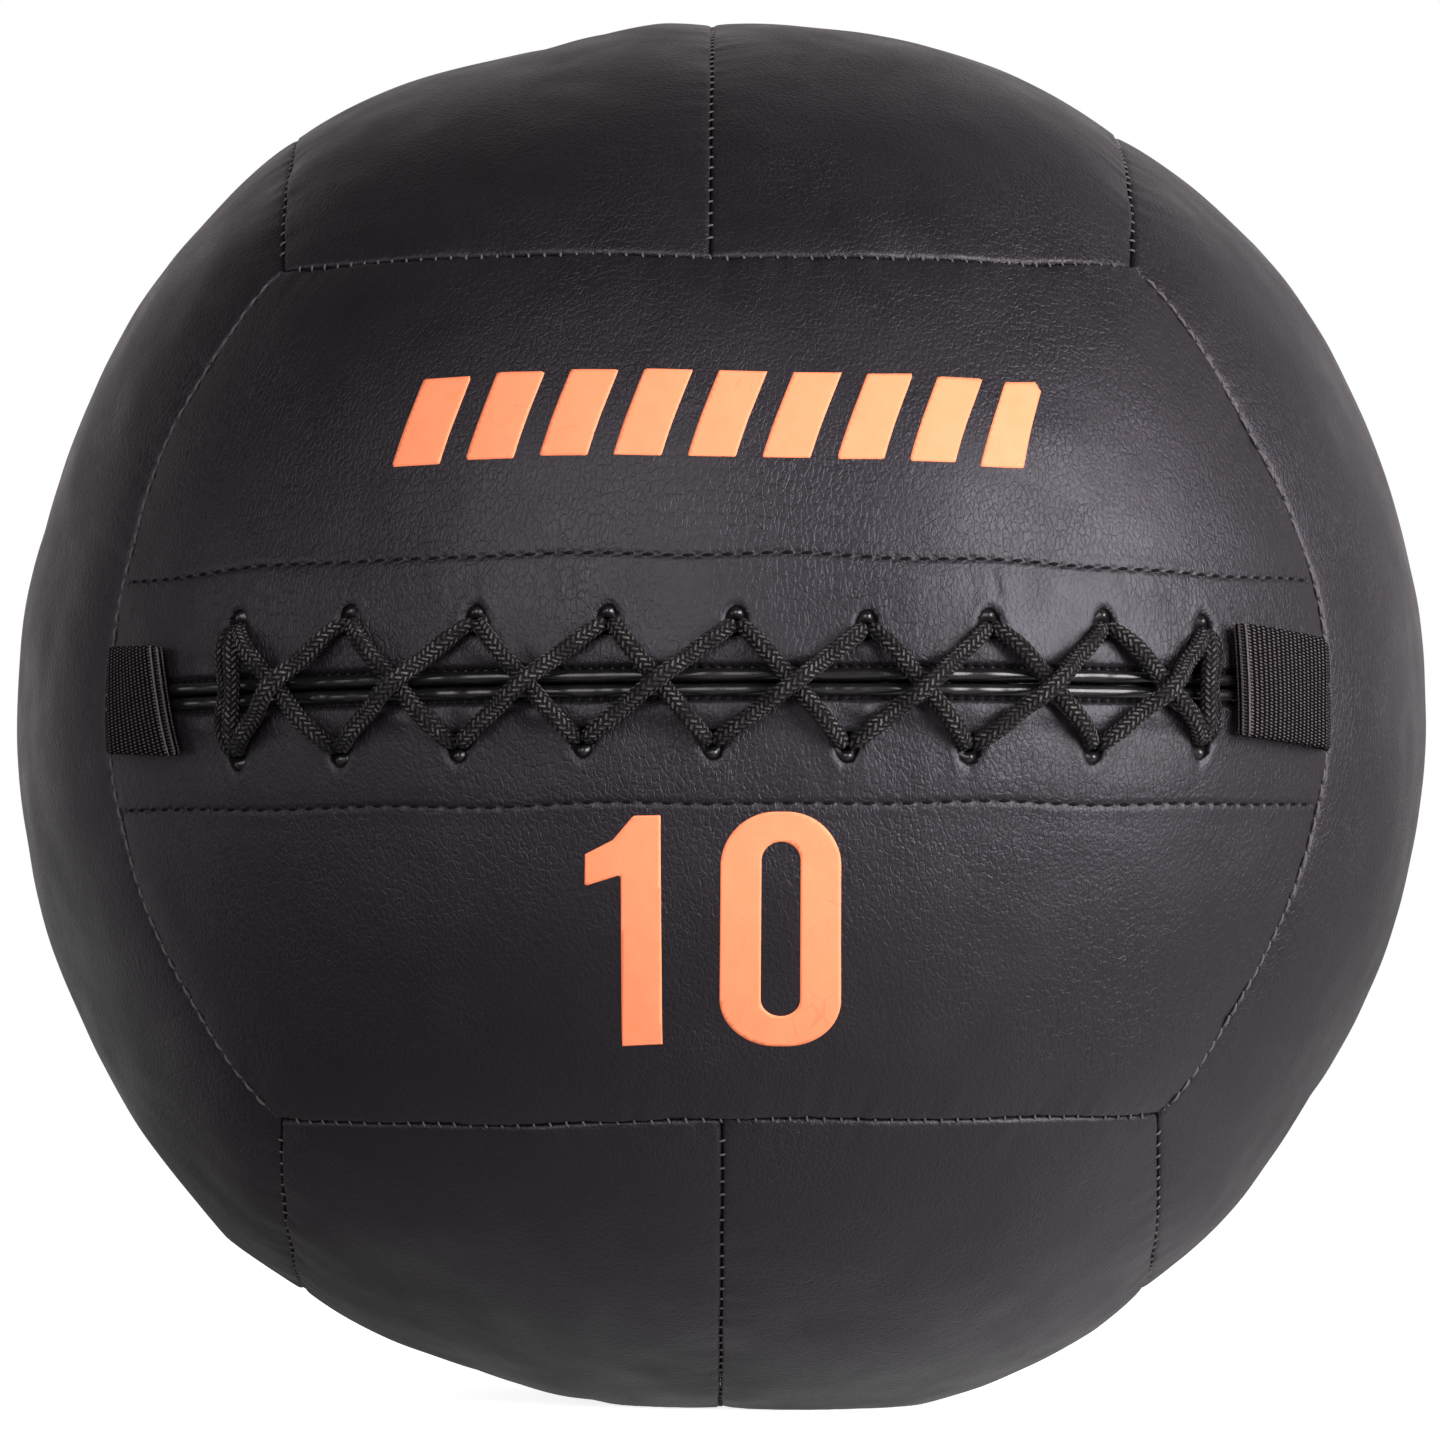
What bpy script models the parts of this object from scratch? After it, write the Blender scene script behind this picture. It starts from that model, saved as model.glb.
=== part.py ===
"""Wall ball with a laced front.

Twelve padded vinyl panels are sewn into a ball along the edges of a cube, each face in two halves.
The front pair meets in a laced slit. Inside are foam pads, textile filling and a bagged weight core.
Lengths are in metres, +Z is up, the laced face looks along -Y, and the ball rests on z = 0.
"""

import math

import bmesh
import bpy
from mathutils import Matrix, Vector

MM_PER_M = 1000.0

# Ball
BALL_RADIUS = 0.178
AXIS_SHARE = 0.992
SQUARENESS_SHARE = 0.037
PANEL_CROWN = 0.0015
REST_FLAT_DEPTH = 0.003
PIECE_GAP = 0.0003
WELD_REACH = 0.00001

# Settled places of the filling, turned from the top about the front axis towards -X
DENT_TURNS_DEG = (10.0, 168.0)
DENT_DEPTH = 0.0022
DENT_SPREAD_DEG = 8.0

# Skin panels and their seams
SKIN_THICKNESS = 0.0012
SEAM_ROLL_RADIUS = 0.0025
SEAM_ALLOWANCE = 0.008
PANEL_LONG_STEPS = 8
PANEL_SHORT_STEPS = 4
PANEL_ROLL_STEPS = 2

# Laced slit in the front face
FRONT_LONG_STEPS = 12
FRONT_ROLL_STEPS = 3
SLIT_WIDTH = 0.001
LIP_WIDTH = 0.0037
LIP_RISE = 0.001
LIP_DEPTH = 0.0032
FACING_THICKNESS = 0.0012
FACING_END_MARGIN = 0.004
FACING_ROWS = 1
TONGUE_THICKNESS = 0.001
TONGUE_EDGE_MARGIN = 0.003
TONGUE_END_MARGIN = 0.012
TONGUE_SHORT_STEPS = 4

# Foam pads and filling
PAD_THICKNESS = 0.0104
PAD_EDGE_EASE = 0.0013
PAD_EDGE_MARGIN = 0.0004
FILLING_GAP = 0.001

# Lace
CORD_RADIUS = 0.0022
CROSSING_SHARE = 0.86
HIDDEN_SHARE = 0.58
HOLE_SHARE = 0.58
STRAND_GAP = 0.0006
COLUMN_COUNT = 9
TAB_TO_LACE = 0.0137
STRAND_REACH = 0.0129
HOLE_NEAR_ROOM = 0.0017
HOLE_FAR_OPEN = 0.0043
HOLE_WIDTH_SHARE = 1.22
HOLE_SIDES = 12
CUT_OVERRUN = 0.003
TAIL_LENGTH = 0.011
KNOT_SHARE = 1.25
CORD_BEVEL_STEPS = 1
OVER_STRAND_SHARES = ((0.4, 0.27), (0.14, 0.9))
RISING_SHARE = 0.12
LEAVING_SHARES = (0.82, 0.82)
HIDDEN_STATION_SHARES = ((0.96, 0.82), (0.78, 1))
TAIL_STATION_SHARES = ((1.15, 1), (1, 1), (0.7, 1), (0.55, 1), (0.15, 0.9))

# Webbing tabs
TAB_WIDTH = 0.0255
TAB_LENGTH = 0.034
WEBBING_THICKNESS = 0.0012
TAB_ROOT_RADIUS = 0.0015
TAB_FOLD_RADIUS = 0.002
TAB_NECK_LENGTH = 0.006
TAB_SLOT_WIDTH = 0.0006
TAB_RUN_STEPS = 5
TAB_ARC_STEPS = 6
FOLD_ARC_DEG = (90, -90)
ROOT_ARC_DEG = (-60, -260)

# Weight core
CORE_RADIUS = 0.074
BAG_WALL = 0.0012
NECK_RADIUS = 0.012
NECK_HEIGHT = 0.022
TIE_RADIUS = 0.002
TIE_HEIGHT_SHARE = 0.45
LATHE_STEPS = 16
CORE_ARC_STEPS = 8
CORE_EMPTY_STEPS = 1
TIE_SIDES = 6

# A panel's place: how far its coordinates are cycled, and the signs that they take first
PANEL_TURN_STEPS = {
    "front_upper": (0, (1, 1, 1)),
    "front_lower": (0, (-1, 1, -1)),
    "back_upper": (0, (-1, -1, 1)),
    "back_lower": (0, (1, -1, -1)),
    "bottom_right": (1, (1, 1, 1)),
    "bottom_left": (1, (-1, 1, -1)),
    "top_right": (1, (-1, -1, 1)),
    "top_left": (1, (1, -1, -1)),
    "left_back": (2, (1, 1, 1)),
    "left_front": (2, (-1, 1, -1)),
    "right_back": (2, (-1, -1, 1)),
    "right_front": (2, (1, -1, -1)),
}
UPPER_TURN_STEPS = PANEL_TURN_STEPS["front_upper"]
LOWER_TURN_STEPS = PANEL_TURN_STEPS["front_lower"]

# Seam planes stand this share of the radius from the centre, and cut circles of the rim share
SEAM_SHARE = 1 / math.sqrt(3)
RIM_SHARE = math.sqrt(2 / 3)
SEAM_HALF_TURN = math.radians(45)
QUARTER_TURN = math.radians(90)
FULL_TURN = math.radians(360)
SIDE_SEAM_LONGITUDE = math.acos(SEAM_SHARE)
SHARP_ANGLE = math.radians(40)

# Depths under the skin's outer surface, and heights over it
FACING_TOP = SKIN_THICKNESS + PIECE_GAP
FACING_BOTTOM = FACING_TOP + FACING_THICKNESS
HOLE_RADIUS = CORD_RADIUS * HOLE_SHARE
HIDDEN_RADIUS = CORD_RADIUS * HIDDEN_SHARE
CROSSING_RADIUS = CORD_RADIUS * CROSSING_SHARE
KNOT_RADIUS = CORD_RADIUS * KNOT_SHARE
SHALLOW_DEPTH = LIP_DEPTH + STRAND_GAP + HIDDEN_RADIUS
DEEP_DEPTH = SHALLOW_DEPTH + 2 * HIDDEN_RADIUS + STRAND_GAP
TONGUE_TOP = DEEP_DEPTH + HIDDEN_RADIUS + 2 * PIECE_GAP
PAD_TOP = SKIN_THICKNESS + PIECE_GAP
PAD_BOTTOM = max(PAD_TOP + PAD_THICKNESS, TONGUE_TOP + TONGUE_THICKNESS)
FILLING_TOP = PAD_BOTTOM + FILLING_GAP
PAD_INSET = PIECE_GAP / 2 + SKIN_THICKNESS + PAD_EDGE_MARGIN
FACING_INSET = SLIT_WIDTH / 2 + LIP_WIDTH + PIECE_GAP
OVER_LIP = LIP_RISE + PIECE_GAP + CROSSING_RADIUS
OVER_STRAND = OVER_LIP + 2 * CROSSING_RADIUS + STRAND_GAP
LACE_STAND = OVER_STRAND + CROSSING_RADIUS
STRAND_PITCH = 2 * HOLE_RADIUS + STRAND_GAP
SIDE_SEAM_ARC = BALL_RADIUS * SIDE_SEAM_LONGITUDE
COLUMN_PITCH = 2 * (SIDE_SEAM_ARC - TAB_LENGTH - TAB_TO_LACE) / (COLUMN_COUNT - 1)

VINYL = ("black_vinyl", (0.022, 0.020, 0.022), 0.42)
LINING = ("glossy_lining", (0.030, 0.029, 0.032), 0.25)
CORD = ("braided_cord", (0.030, 0.030, 0.033), 0.80)
WEBBING = ("nylon_webbing", (0.018, 0.018, 0.020), 0.70)
FOAM = ("grey_foam", (0.30, 0.30, 0.31), 0.95)
TEXTILE = ("textile_filling", (0.42, 0.40, 0.37), 1.00)
CANVAS = ("canvas", (0.36, 0.33, 0.26), 0.90)
GRANULES = ("ballast_granules", (0.25, 0.22, 0.19), 0.85)


def direction_at(longitude, latitude):
    """Unit vector from the ball's centre. Longitude 0 is the front and grows towards +X."""
    flat = math.cos(latitude)
    return Vector((flat * math.sin(longitude), -flat * math.cos(longitude), math.sin(latitude)))


def turned(direction, turn):
    """A direction of the front upper panel, carried to the panel with this turn."""
    cycle, signs = turn
    signed = [value * sign for value, sign in zip(direction, signs)]
    return Vector((signed[-cycle], signed[1 - cycle], signed[2 - cycle]))


def dent_at(direction):
    """Depth of the settled places at a direction."""
    depth = 0.0
    for turn in DENT_TURNS_DEG:
        lean = math.radians(turn)
        away = math.degrees(direction.angle(Vector((-math.sin(lean), 0, math.cos(lean)))))
        depth += DENT_DEPTH * math.exp(-((away / DENT_SPREAD_DEG) ** 2))
    return depth


def ball_radius(direction):
    """Radius of the stuffed ball, which is fuller between the axes than on them."""
    roundness = sum(value**4 for value in direction)
    fullness = AXIS_SHARE * (1 + SQUARENESS_SHARE * (1 - roundness))
    return BALL_RADIUS * fullness - dent_at(direction)


def crown_at(canonical, turn):
    """How far a panel swells between its seams. The two front panels swell as one."""
    latitude = math.asin(canonical.z)
    side = math.acos(min(1, SEAM_SHARE / math.cos(latitude)))
    along = math.atan2(canonical.x, -canonical.y) / side
    across = math.asin(max(-1, min(1, canonical.z / RIM_SHARE))) / SEAM_HALF_TURN
    if turn not in (UPPER_TURN_STEPS, LOWER_TURN_STEPS):
        across = 2 * across - 1
    return PANEL_CROWN * max(0, 1 - along**4) * max(0, 1 - across**4)


CENTRE_HEIGHT = ball_radius(Vector((0, 0, -1))) - REST_FLAT_DEPTH


def point_at(canonical, turn, depth):
    """The point, from the ball's centre, that lies this far under the skin's outer surface."""
    direction = turned(canonical, turn)
    return direction * (ball_radius(direction) + crown_at(canonical, turn) - depth)


def rested(point, depth):
    """The point, pressed up until it is as far above the floor as it lies under the skin."""
    return Vector((point.x, point.y, max(point.z, max(0, depth) - CENTRE_HEIGHT)))


def even_rows(low, high, steps):
    """Heights over the slit's plane, at even turns round the seam circles."""
    rim = BALL_RADIUS * RIM_SHARE
    first, last = math.asin(low / rim), math.asin(high / rim)
    return [rim * math.sin(first + (last - first) * step / steps) for step in range(steps + 1)]


def panel_rows(low, high):
    """A panel's rows of points. All layers share them, apart from their first and last rows."""
    rows = even_rows(0, BALL_RADIUS * SEAM_SHARE, PANEL_SHORT_STEPS)
    return [low] + rows[1:-1] + [high]


def grid_direction(u, height, side):
    """A place on the front face, from its share of the way along and its height over the slit.

    side is the distance that the ends keep from the planes of the two side seams.
    """
    latitude = math.asin(height / BALL_RADIUS)
    kept = side / BALL_RADIUS if abs(u) == 1 else 0
    reach = math.acos((SEAM_SHARE + kept) / math.cos(latitude))
    return direction_at(u * reach, latitude)


def seam_profile(roll_steps):
    """(distance from the seam's plane, depth) over the rolled edge and down its allowance."""
    half_gap = PIECE_GAP / 2
    profile = []
    for step in range(roll_steps + 1):
        angle = QUARTER_TURN * step / roll_steps
        away = half_gap + SEAM_ROLL_RADIUS * (1 - math.sin(angle))
        profile.append((away, SEAM_ROLL_RADIUS * (1 - math.cos(angle))))
    return profile + [(half_gap, SEAM_ROLL_RADIUS + SEAM_ALLOWANCE)]


def lip_profile(lip_steps):
    """(distance from the slit's plane, depth) over the raised lip and down its wall."""
    half_slit = SLIT_WIDTH / 2
    profile = []
    for step in range(lip_steps + 1):
        angle = math.pi * step / lip_steps
        away = half_slit + LIP_WIDTH / 2 * (1 + math.cos(angle))
        profile.append((away, -LIP_RISE * math.sin(angle)))
    return profile + [(half_slit, LIP_DEPTH)]


def panel_grid(long_steps, short_steps, rings=0):
    """Mesh in grid coordinates: x is u, y is the row, and z is the number of the ring outside."""
    mesh = bmesh.new()
    bmesh.ops.create_grid(mesh, x_segments=long_steps, y_segments=short_steps, size=1)
    for vertex in mesh.verts:
        vertex.co.y = round((vertex.co.y + 1) / 2 * short_steps)
    rim = [edge for edge in mesh.edges if edge.is_boundary]
    for ring in range(1, rings + 1):
        grown = bmesh.ops.extrude_edge_only(mesh, edges=rim)["geom"]
        fresh = {item for item in grown if isinstance(item, bmesh.types.BMVert)}
        for vertex in fresh:
            vertex.co.z = ring
        rim = [edge for edge in mesh.edges if set(edge.verts) <= fresh]
    return mesh


def long_steps_of(turn):
    """Grid steps along a panel."""
    return FRONT_LONG_STEPS if turn in (UPPER_TURN_STEPS, LOWER_TURN_STEPS) else PANEL_LONG_STEPS


def new_material(finish):
    """A Principled material, made once for each finish."""
    name, colour, roughness = finish
    material = bpy.data.materials.get(name)
    if material:
        return material
    material = bpy.data.materials.new(name)
    material.use_nodes = True
    material.diffuse_color = (*colour, 1)
    shader = material.node_tree.nodes["Principled BSDF"]
    shader.inputs["Base Color"].default_value = (*colour, 1)
    shader.inputs["Roughness"].default_value = roughness
    shader.inputs["Metallic"].default_value = 0
    return material


def add_piece(name, data, finish):
    """Adds a named piece to the ball, measured from the ball's centre."""
    piece = bpy.data.objects.new(name, data)
    data.materials.append(new_material(finish))
    if piece.type == "MESH":
        data.shade_smooth()
        data.set_sharp_from_angle(angle=SHARP_ANGLE)
    parts.objects.link(piece)
    piece.parent = ball_centre
    return piece


def mesh_data(name, mesh):
    """The bmesh as mesh data. The bmesh is freed."""
    data = bpy.data.meshes.new(name)
    mesh.to_mesh(data)
    mesh.free()
    return data


def add_cutter(name, data):
    """Adds a hidden cutter, measured from the ball's centre."""
    cutter = bpy.data.objects.new(name, data)
    cutter.hide_render = True
    cutter.display_type = "WIRE"
    cutters.objects.link(cutter)
    cutter.parent = ball_centre
    return cutter


def thicken(piece, thickness):
    """Gives an open sheet its wall, inwards from the drawn surface."""
    wall = piece.modifiers.new("wall", "SOLIDIFY")
    wall.thickness = thickness
    wall.offset = -1
    wall.use_even_offset = True


def cut_from(piece, cutter):
    """Takes the cutter's volume out of the piece."""
    cut = piece.modifiers.new(cutter.name, "BOOLEAN")
    cut.operation = "DIFFERENCE"
    cut.object = cutter


def build_panel(name, turn):
    """One vinyl panel: its field, its rolled edges and the allowance turned in at its seams."""
    front = turn in (UPPER_TURN_STEPS, LOWER_TURN_STEPS)
    roll_steps = FRONT_ROLL_STEPS if front else PANEL_ROLL_STEPS
    seam = seam_profile(roll_steps)
    middle = lip_profile(roll_steps) if front else seam
    top = BALL_RADIUS * SEAM_SHARE
    rows_in = [panel_rows(low, top - away) for (low, _), (away, _) in zip(middle, seam)]
    mesh = panel_grid(long_steps_of(turn), PANEL_SHORT_STEPS, rings=len(seam) - 1)
    depth_of = mesh.verts.layers.float.new("depth")
    for vertex in mesh.verts:
        u, row, ring = vertex.co.x, round(vertex.co.y), round(vertex.co.z)
        canonical = grid_direction(u, rows_in[ring][row], seam[ring][0])
        edge = middle if row == 0 and abs(u) < 1 else seam
        vertex[depth_of] = edge[ring][1]
        vertex.co = point_at(canonical, turn, vertex[depth_of])
    everything = mesh.verts[:] + mesh.edges[:] + mesh.faces[:]
    floor = Vector((0, 0, -CENTRE_HEIGHT))
    bmesh.ops.bisect_plane(mesh, geom=everything, plane_co=floor, plane_no=(0, 0, 1))
    for vertex in mesh.verts:
        vertex.co = rested(vertex.co, vertex[depth_of])
    panel = add_piece(f"{name}_panel", mesh_data(f"{name}_panel", mesh), VINYL)
    thicken(panel, SKIN_THICKNESS)
    return panel


def build_pad(name, turn):
    """The foam pad behind one panel. The front pads stop short of the lace's facings."""
    rows = panel_rows(PAD_INSET, BALL_RADIUS * SEAM_SHARE - PAD_INSET)
    if turn in (UPPER_TURN_STEPS, LOWER_TURN_STEPS):
        rows = rows[FACING_ROWS:]
        rows[0] += PIECE_GAP
    last = len(rows) - 1
    mesh = panel_grid(long_steps_of(turn), last, rings=1)
    inner = panel_grid(long_steps_of(turn), last)
    bmesh.ops.reverse_faces(inner, faces=inner.faces)
    for vertex in inner.verts:
        vertex.co.z = 1
    inner_data = mesh_data("inner", inner)
    mesh.from_mesh(inner_data)
    bpy.data.meshes.remove(inner_data)
    bmesh.ops.remove_doubles(mesh, verts=mesh.verts, dist=WELD_REACH)
    for vertex in mesh.verts:
        u, row, ring = vertex.co.x, round(vertex.co.y), round(vertex.co.z)
        on_edge = abs(u) == 1 or row in (0, last)
        eased = PAD_TOP + (PAD_EDGE_EASE if on_edge else 0)
        depth = PAD_BOTTOM if ring else eased
        canonical = grid_direction(u, rows[row], PAD_INSET)
        vertex.co = rested(point_at(canonical, turn, depth), depth)
    return add_piece(f"{name}_pad", mesh_data(f"{name}_pad", mesh), FOAM)


def build_strip(name, turn, rows, side, depth, thickness):
    """A thin lining strip that follows the front face at a depth under the skin."""
    mesh = panel_grid(FRONT_LONG_STEPS, len(rows) - 1)
    for vertex in mesh.verts:
        canonical = grid_direction(vertex.co.x, rows[round(vertex.co.y)], side)
        vertex.co = point_at(canonical, turn, depth)
    strip = add_piece(name, mesh_data(name, mesh), LINING)
    thicken(strip, thickness)
    return strip


def column_along(column):
    """Distance of a column of holes from the middle of the slit, along the skin."""
    return (column - (COLUMN_COUNT - 1) / 2) * COLUMN_PITCH


def strands_in(column):
    """How many strands pass through each hole of a column."""
    return 3 if column in (0, COLUMN_COUNT - 1) else 2


def lace_place(along, across, height):
    """A point over the front face, from distances along and across the slit on the skin."""
    direction = direction_at(along / BALL_RADIUS, across / BALL_RADIUS)
    return point_at(direction, UPPER_TURN_STEPS, -height)


def build_hole_cutter(name, side):
    """The row of oval holes on one side of the slit, as one cutter."""
    mesh = bmesh.new()
    across = STRAND_REACH + (HOLE_FAR_OPEN - HOLE_NEAR_ROOM) / 2
    half_height = HOLE_RADIUS + (HOLE_NEAR_ROOM + HOLE_FAR_OPEN) / 2
    half_depth = FACING_BOTTOM / 2 + CUT_OVERRUN
    for column in range(COLUMN_COUNT):
        outer_strand = STRAND_PITCH * (strands_in(column) - 1) / 2
        half_width = (outer_strand + HOLE_RADIUS) * HOLE_WIDTH_SHARE
        centre = lace_place(column_along(column), side * across, -FACING_BOTTOM / 2)
        outward = centre.normalized()
        sideways = outward.cross(Vector((0, 0, 1))).normalized()
        frame = Matrix((-sideways, outward.cross(-sideways), outward)).transposed()
        size = Matrix.Diagonal((half_width, half_height, half_depth))
        bmesh.ops.create_cone(
            mesh,
            cap_ends=True,
            segments=HOLE_SIDES,
            radius1=1,
            radius2=1,
            depth=2,
            matrix=Matrix.Translation(centre) @ (frame @ size).to_4x4(),
        )
    bmesh.ops.recalc_face_normals(mesh, faces=mesh.faces)
    return add_cutter(name, mesh_data(name, mesh))


def hole(column, side, slot):
    """Where a strand passes a hole. Slots are counted from the hole's middle towards +X."""
    return column_along(column) + slot * STRAND_PITCH, side * STRAND_REACH


def run_between(start, end, stations):
    """Stations between two holes.

    Each station is (place, height, radius, spread): place runs from 1 over the start to -1 over
    the end, height is over the skin, and spread moves the strand aside along the slit.
    """
    points = []
    for place, height, radius, spread in stations:
        mix = (1 - place) / 2
        along = start[0] + (end[0] - start[0]) * mix + spread
        across = start[1] + (end[1] - start[1]) * mix
        points.append((along, across, height, radius))
    return points


def mirrored(half):
    """A run's stations from those of its first half, whose last one lies midway."""
    return half + [(-place, *rest) for place, *rest in reversed(half[:-1])]


def visible_run(start, end, crest, spread=0.0):
    """A strand from hole to hole over the lips. A high crest clears the strand under it."""
    leaving = (HOLE_RADIUS + CROSSING_RADIUS) / 2
    place, share = LEAVING_SHARES
    half = [
        (1, -FACING_BOTTOM, HOLE_RADIUS, 0),
        (1, RISING_SHARE * OVER_LIP, HOLE_RADIUS, 0),
        (place, share * OVER_LIP, leaving, spread / 2),
    ]
    if crest > OVER_LIP:
        for place, share in OVER_STRAND_SHARES:
            height = OVER_LIP + share * (crest - OVER_LIP)
            half.append((place, height, CROSSING_RADIUS, spread))
    half.append((0, crest, CROSSING_RADIUS, spread))
    return run_between(start, end, mirrored(half))


def hidden_run(start, end, depth):
    """A strand from hole to hole under the lips."""
    radii = (HOLE_RADIUS, HIDDEN_RADIUS)
    shares = zip(HIDDEN_STATION_SHARES, radii)
    half = [(place, -share * depth, radius, 0) for (place, share), radius in shares]
    stations = half + [(-place, *rest) for place, *rest in reversed(half)]
    return run_between(start, end, stations)


def lace_tail(end):
    """From a knot inside the slit to a hole."""
    along, across = end
    outward = math.copysign(TAIL_LENGTH, across)
    depth = (FACING_BOTTOM + TONGUE_TOP) / 2
    radii = (HOLE_RADIUS, KNOT_RADIUS, KNOT_RADIUS, HIDDEN_RADIUS, HIDDEN_RADIUS)
    shares = zip(TAIL_STATION_SHARES, radii)
    return [(along, across + out * outward, -down * depth, radius) for (out, down), radius in shares]


def lace_route():
    """Every point of the lace in order, as (along, across, height, radius)."""
    last = COLUMN_COUNT - 1
    first_end = hole(0, 1, -1)
    route = lace_tail(first_end)
    spread = 2 * (CROSSING_RADIUS - HOLE_RADIUS)
    # Two bars over the left end
    route += visible_run(first_end, hole(0, -1, -1), OVER_LIP, -spread)
    route += hidden_run(hole(0, -1, -1), hole(0, 1, 0), SHALLOW_DEPTH)
    route += visible_run(hole(0, 1, 0), hole(0, -1, 0), OVER_LIP)
    route += hidden_run(hole(0, -1, 0), hole(0, 1, 1), SHALLOW_DEPTH)
    # To the right, under each crossing
    start = hole(0, 1, 1)
    for column in range(1, last):
        arrival, departure = hole(column, -1, -0.5), hole(column, 1, 0.5)
        route += visible_run(start, arrival, OVER_LIP)
        route += hidden_run(arrival, departure, SHALLOW_DEPTH)
        start = departure
    route += visible_run(start, hole(last, -1, -1), OVER_LIP)
    # Two bars over the right end
    route += hidden_run(hole(last, -1, -1), hole(last, 1, 0), SHALLOW_DEPTH)
    route += visible_run(hole(last, 1, 0), hole(last, -1, 0), OVER_LIP)
    route += hidden_run(hole(last, -1, 0), hole(last, 1, 1), SHALLOW_DEPTH)
    route += visible_run(hole(last, 1, 1), hole(last, -1, 1), OVER_LIP, spread)
    route += hidden_run(hole(last, -1, 1), hole(last, 1, -1), DEEP_DEPTH)
    # Back to the left, over each crossing
    start = hole(last, 1, -1)
    for column in range(last - 1, 0, -1):
        arrival, departure = hole(column, -1, 0.5), hole(column, 1, -0.5)
        route += visible_run(start, arrival, OVER_STRAND)
        route += hidden_run(arrival, departure, DEEP_DEPTH)
        start = departure
    last_end = hole(0, -1, 1)
    route += visible_run(start, last_end, OVER_STRAND)
    return route + lace_tail(last_end)[::-1]


def nearest_between(first, second):
    """Least distance between two straight stretches, and how far along each of them it is."""
    (a, b), (c, d) = first, second
    along, other, across = b - a, d - c, a - c
    aa, ao, oo = along.dot(along), along.dot(other), other.dot(other)
    ac, oc = along.dot(across), other.dot(across)
    flatness = aa * oo - ao * ao
    share = max(0, min(1, (ao * oc - oo * ac) / flatness)) if flatness else 0
    place = max(0, min(1, (ao * share + oc) / oo))
    share = max(0, min(1, (ao * place - ac) / aa))
    return ((a + along * share) - (c + other * place)).length, share, place


def least_gap(points, radii):
    """Least clear distance of a tube to itself, beyond its own bends."""
    bend = 8 * max(radii)
    reached = [0.0]
    for before, after in zip(points, points[1:]):
        reached.append(reached[-1] + (after - before).length)
    least = math.inf
    for i in range(len(points) - 1):
        for j in range(i + 1, len(points) - 1):
            if reached[j] - reached[i + 1] < bend:
                continue
            apart, share, place = nearest_between(points[i : i + 2], points[j : j + 2])
            apart -= radii[i] + (radii[i + 1] - radii[i]) * share
            apart -= radii[j] + (radii[j + 1] - radii[j]) * place
            least = min(least, apart)
    return least


def build_lace():
    """The lace: one unbroken cord through all the holes."""
    route = lace_route()
    points = [lace_place(*station[:3]) for station in route]
    radii = [station[3] for station in route]
    data = bpy.data.curves.new("lace", "CURVE")
    data.dimensions = "3D"
    data.bevel_depth = CORD_RADIUS
    data.bevel_resolution = CORD_BEVEL_STEPS
    data.use_fill_caps = True
    spline = data.splines.new("POLY")
    spline.points.add(len(points) - 1)
    for target, point, radius in zip(spline.points, points, radii):
        target.co = (*point, 1)
        target.radius = radius / CORD_RADIUS
    print(f"lace: least gap to itself {least_gap(points, radii) * MM_PER_M:.2f} mm")
    return add_piece("lace", data, CORD)


def tab_root_height():
    """Height at which the tab's round root sits in the valley between two rolled edges."""
    reach = SEAM_ROLL_RADIUS + TAB_ROOT_RADIUS + PIECE_GAP
    aside = SEAM_ROLL_RADIUS + PIECE_GAP / 2
    return math.sqrt(reach**2 - aside**2) - SEAM_ROLL_RADIUS


def equator_point(along, height, side):
    """A point level with the slit, from its distance along the skin from a side seam."""
    longitude = side * (SIDE_SEAM_LONGITUDE - along / BALL_RADIUS)
    return point_at(direction_at(longitude, 0), UPPER_TURN_STEPS, -height)


def arc(centre, radius, first_deg, last_deg):
    """Points of a circular arc in the tab's own profile."""
    points = []
    for step in range(TAB_ARC_STEPS + 1):
        angle = math.radians(first_deg + (last_deg - first_deg) * step / TAB_ARC_STEPS)
        along = centre[0] + radius * math.cos(angle)
        points.append((along, centre[1] + radius * math.sin(angle)))
    return points


def straight(start, end):
    """Points between two profile points, so that the run can follow the ball."""
    shares = [step / TAB_RUN_STEPS for step in range(1, TAB_RUN_STEPS)]
    return [(start[0] + (end[0] - start[0]) * s, start[1] + (end[1] - start[1]) * s) for s in shares]


def tab_outlines():
    """The folded strap's outer and inner outlines, as (distance from the seam, height)."""
    under = LIP_RISE + PIECE_GAP
    fold_at = TAB_LENGTH - TAB_FOLD_RADIUS
    fold_centre = (fold_at, under + TAB_FOLD_RADIUS)
    neck_top = under + 2 * WEBBING_THICKNESS + TAB_SLOT_WIDTH
    fold = arc(fold_centre, TAB_FOLD_RADIUS, *FOLD_ARC_DEG)
    root = arc((0, tab_root_height()), TAB_ROOT_RADIUS, *ROOT_ARC_DEG)
    neck_upper, neck_lower = (TAB_NECK_LENGTH, neck_top), (TAB_NECK_LENGTH, under)
    outer = root + [neck_upper] + straight(neck_upper, fold[0])
    outer += fold + straight(fold[-1], neck_lower) + [neck_lower]
    inner_fold = arc(fold_centre, TAB_FOLD_RADIUS - WEBBING_THICKNESS, *reversed(FOLD_ARC_DEG))
    slot_lower = (TAB_NECK_LENGTH, under + WEBBING_THICKNESS)
    slot_upper = (TAB_NECK_LENGTH, slot_lower[1] + TAB_SLOT_WIDTH)
    inner = [slot_lower] + straight(slot_lower, inner_fold[0])
    inner += inner_fold + straight(inner_fold[-1], slot_upper) + [slot_upper]
    return outer, inner


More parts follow.
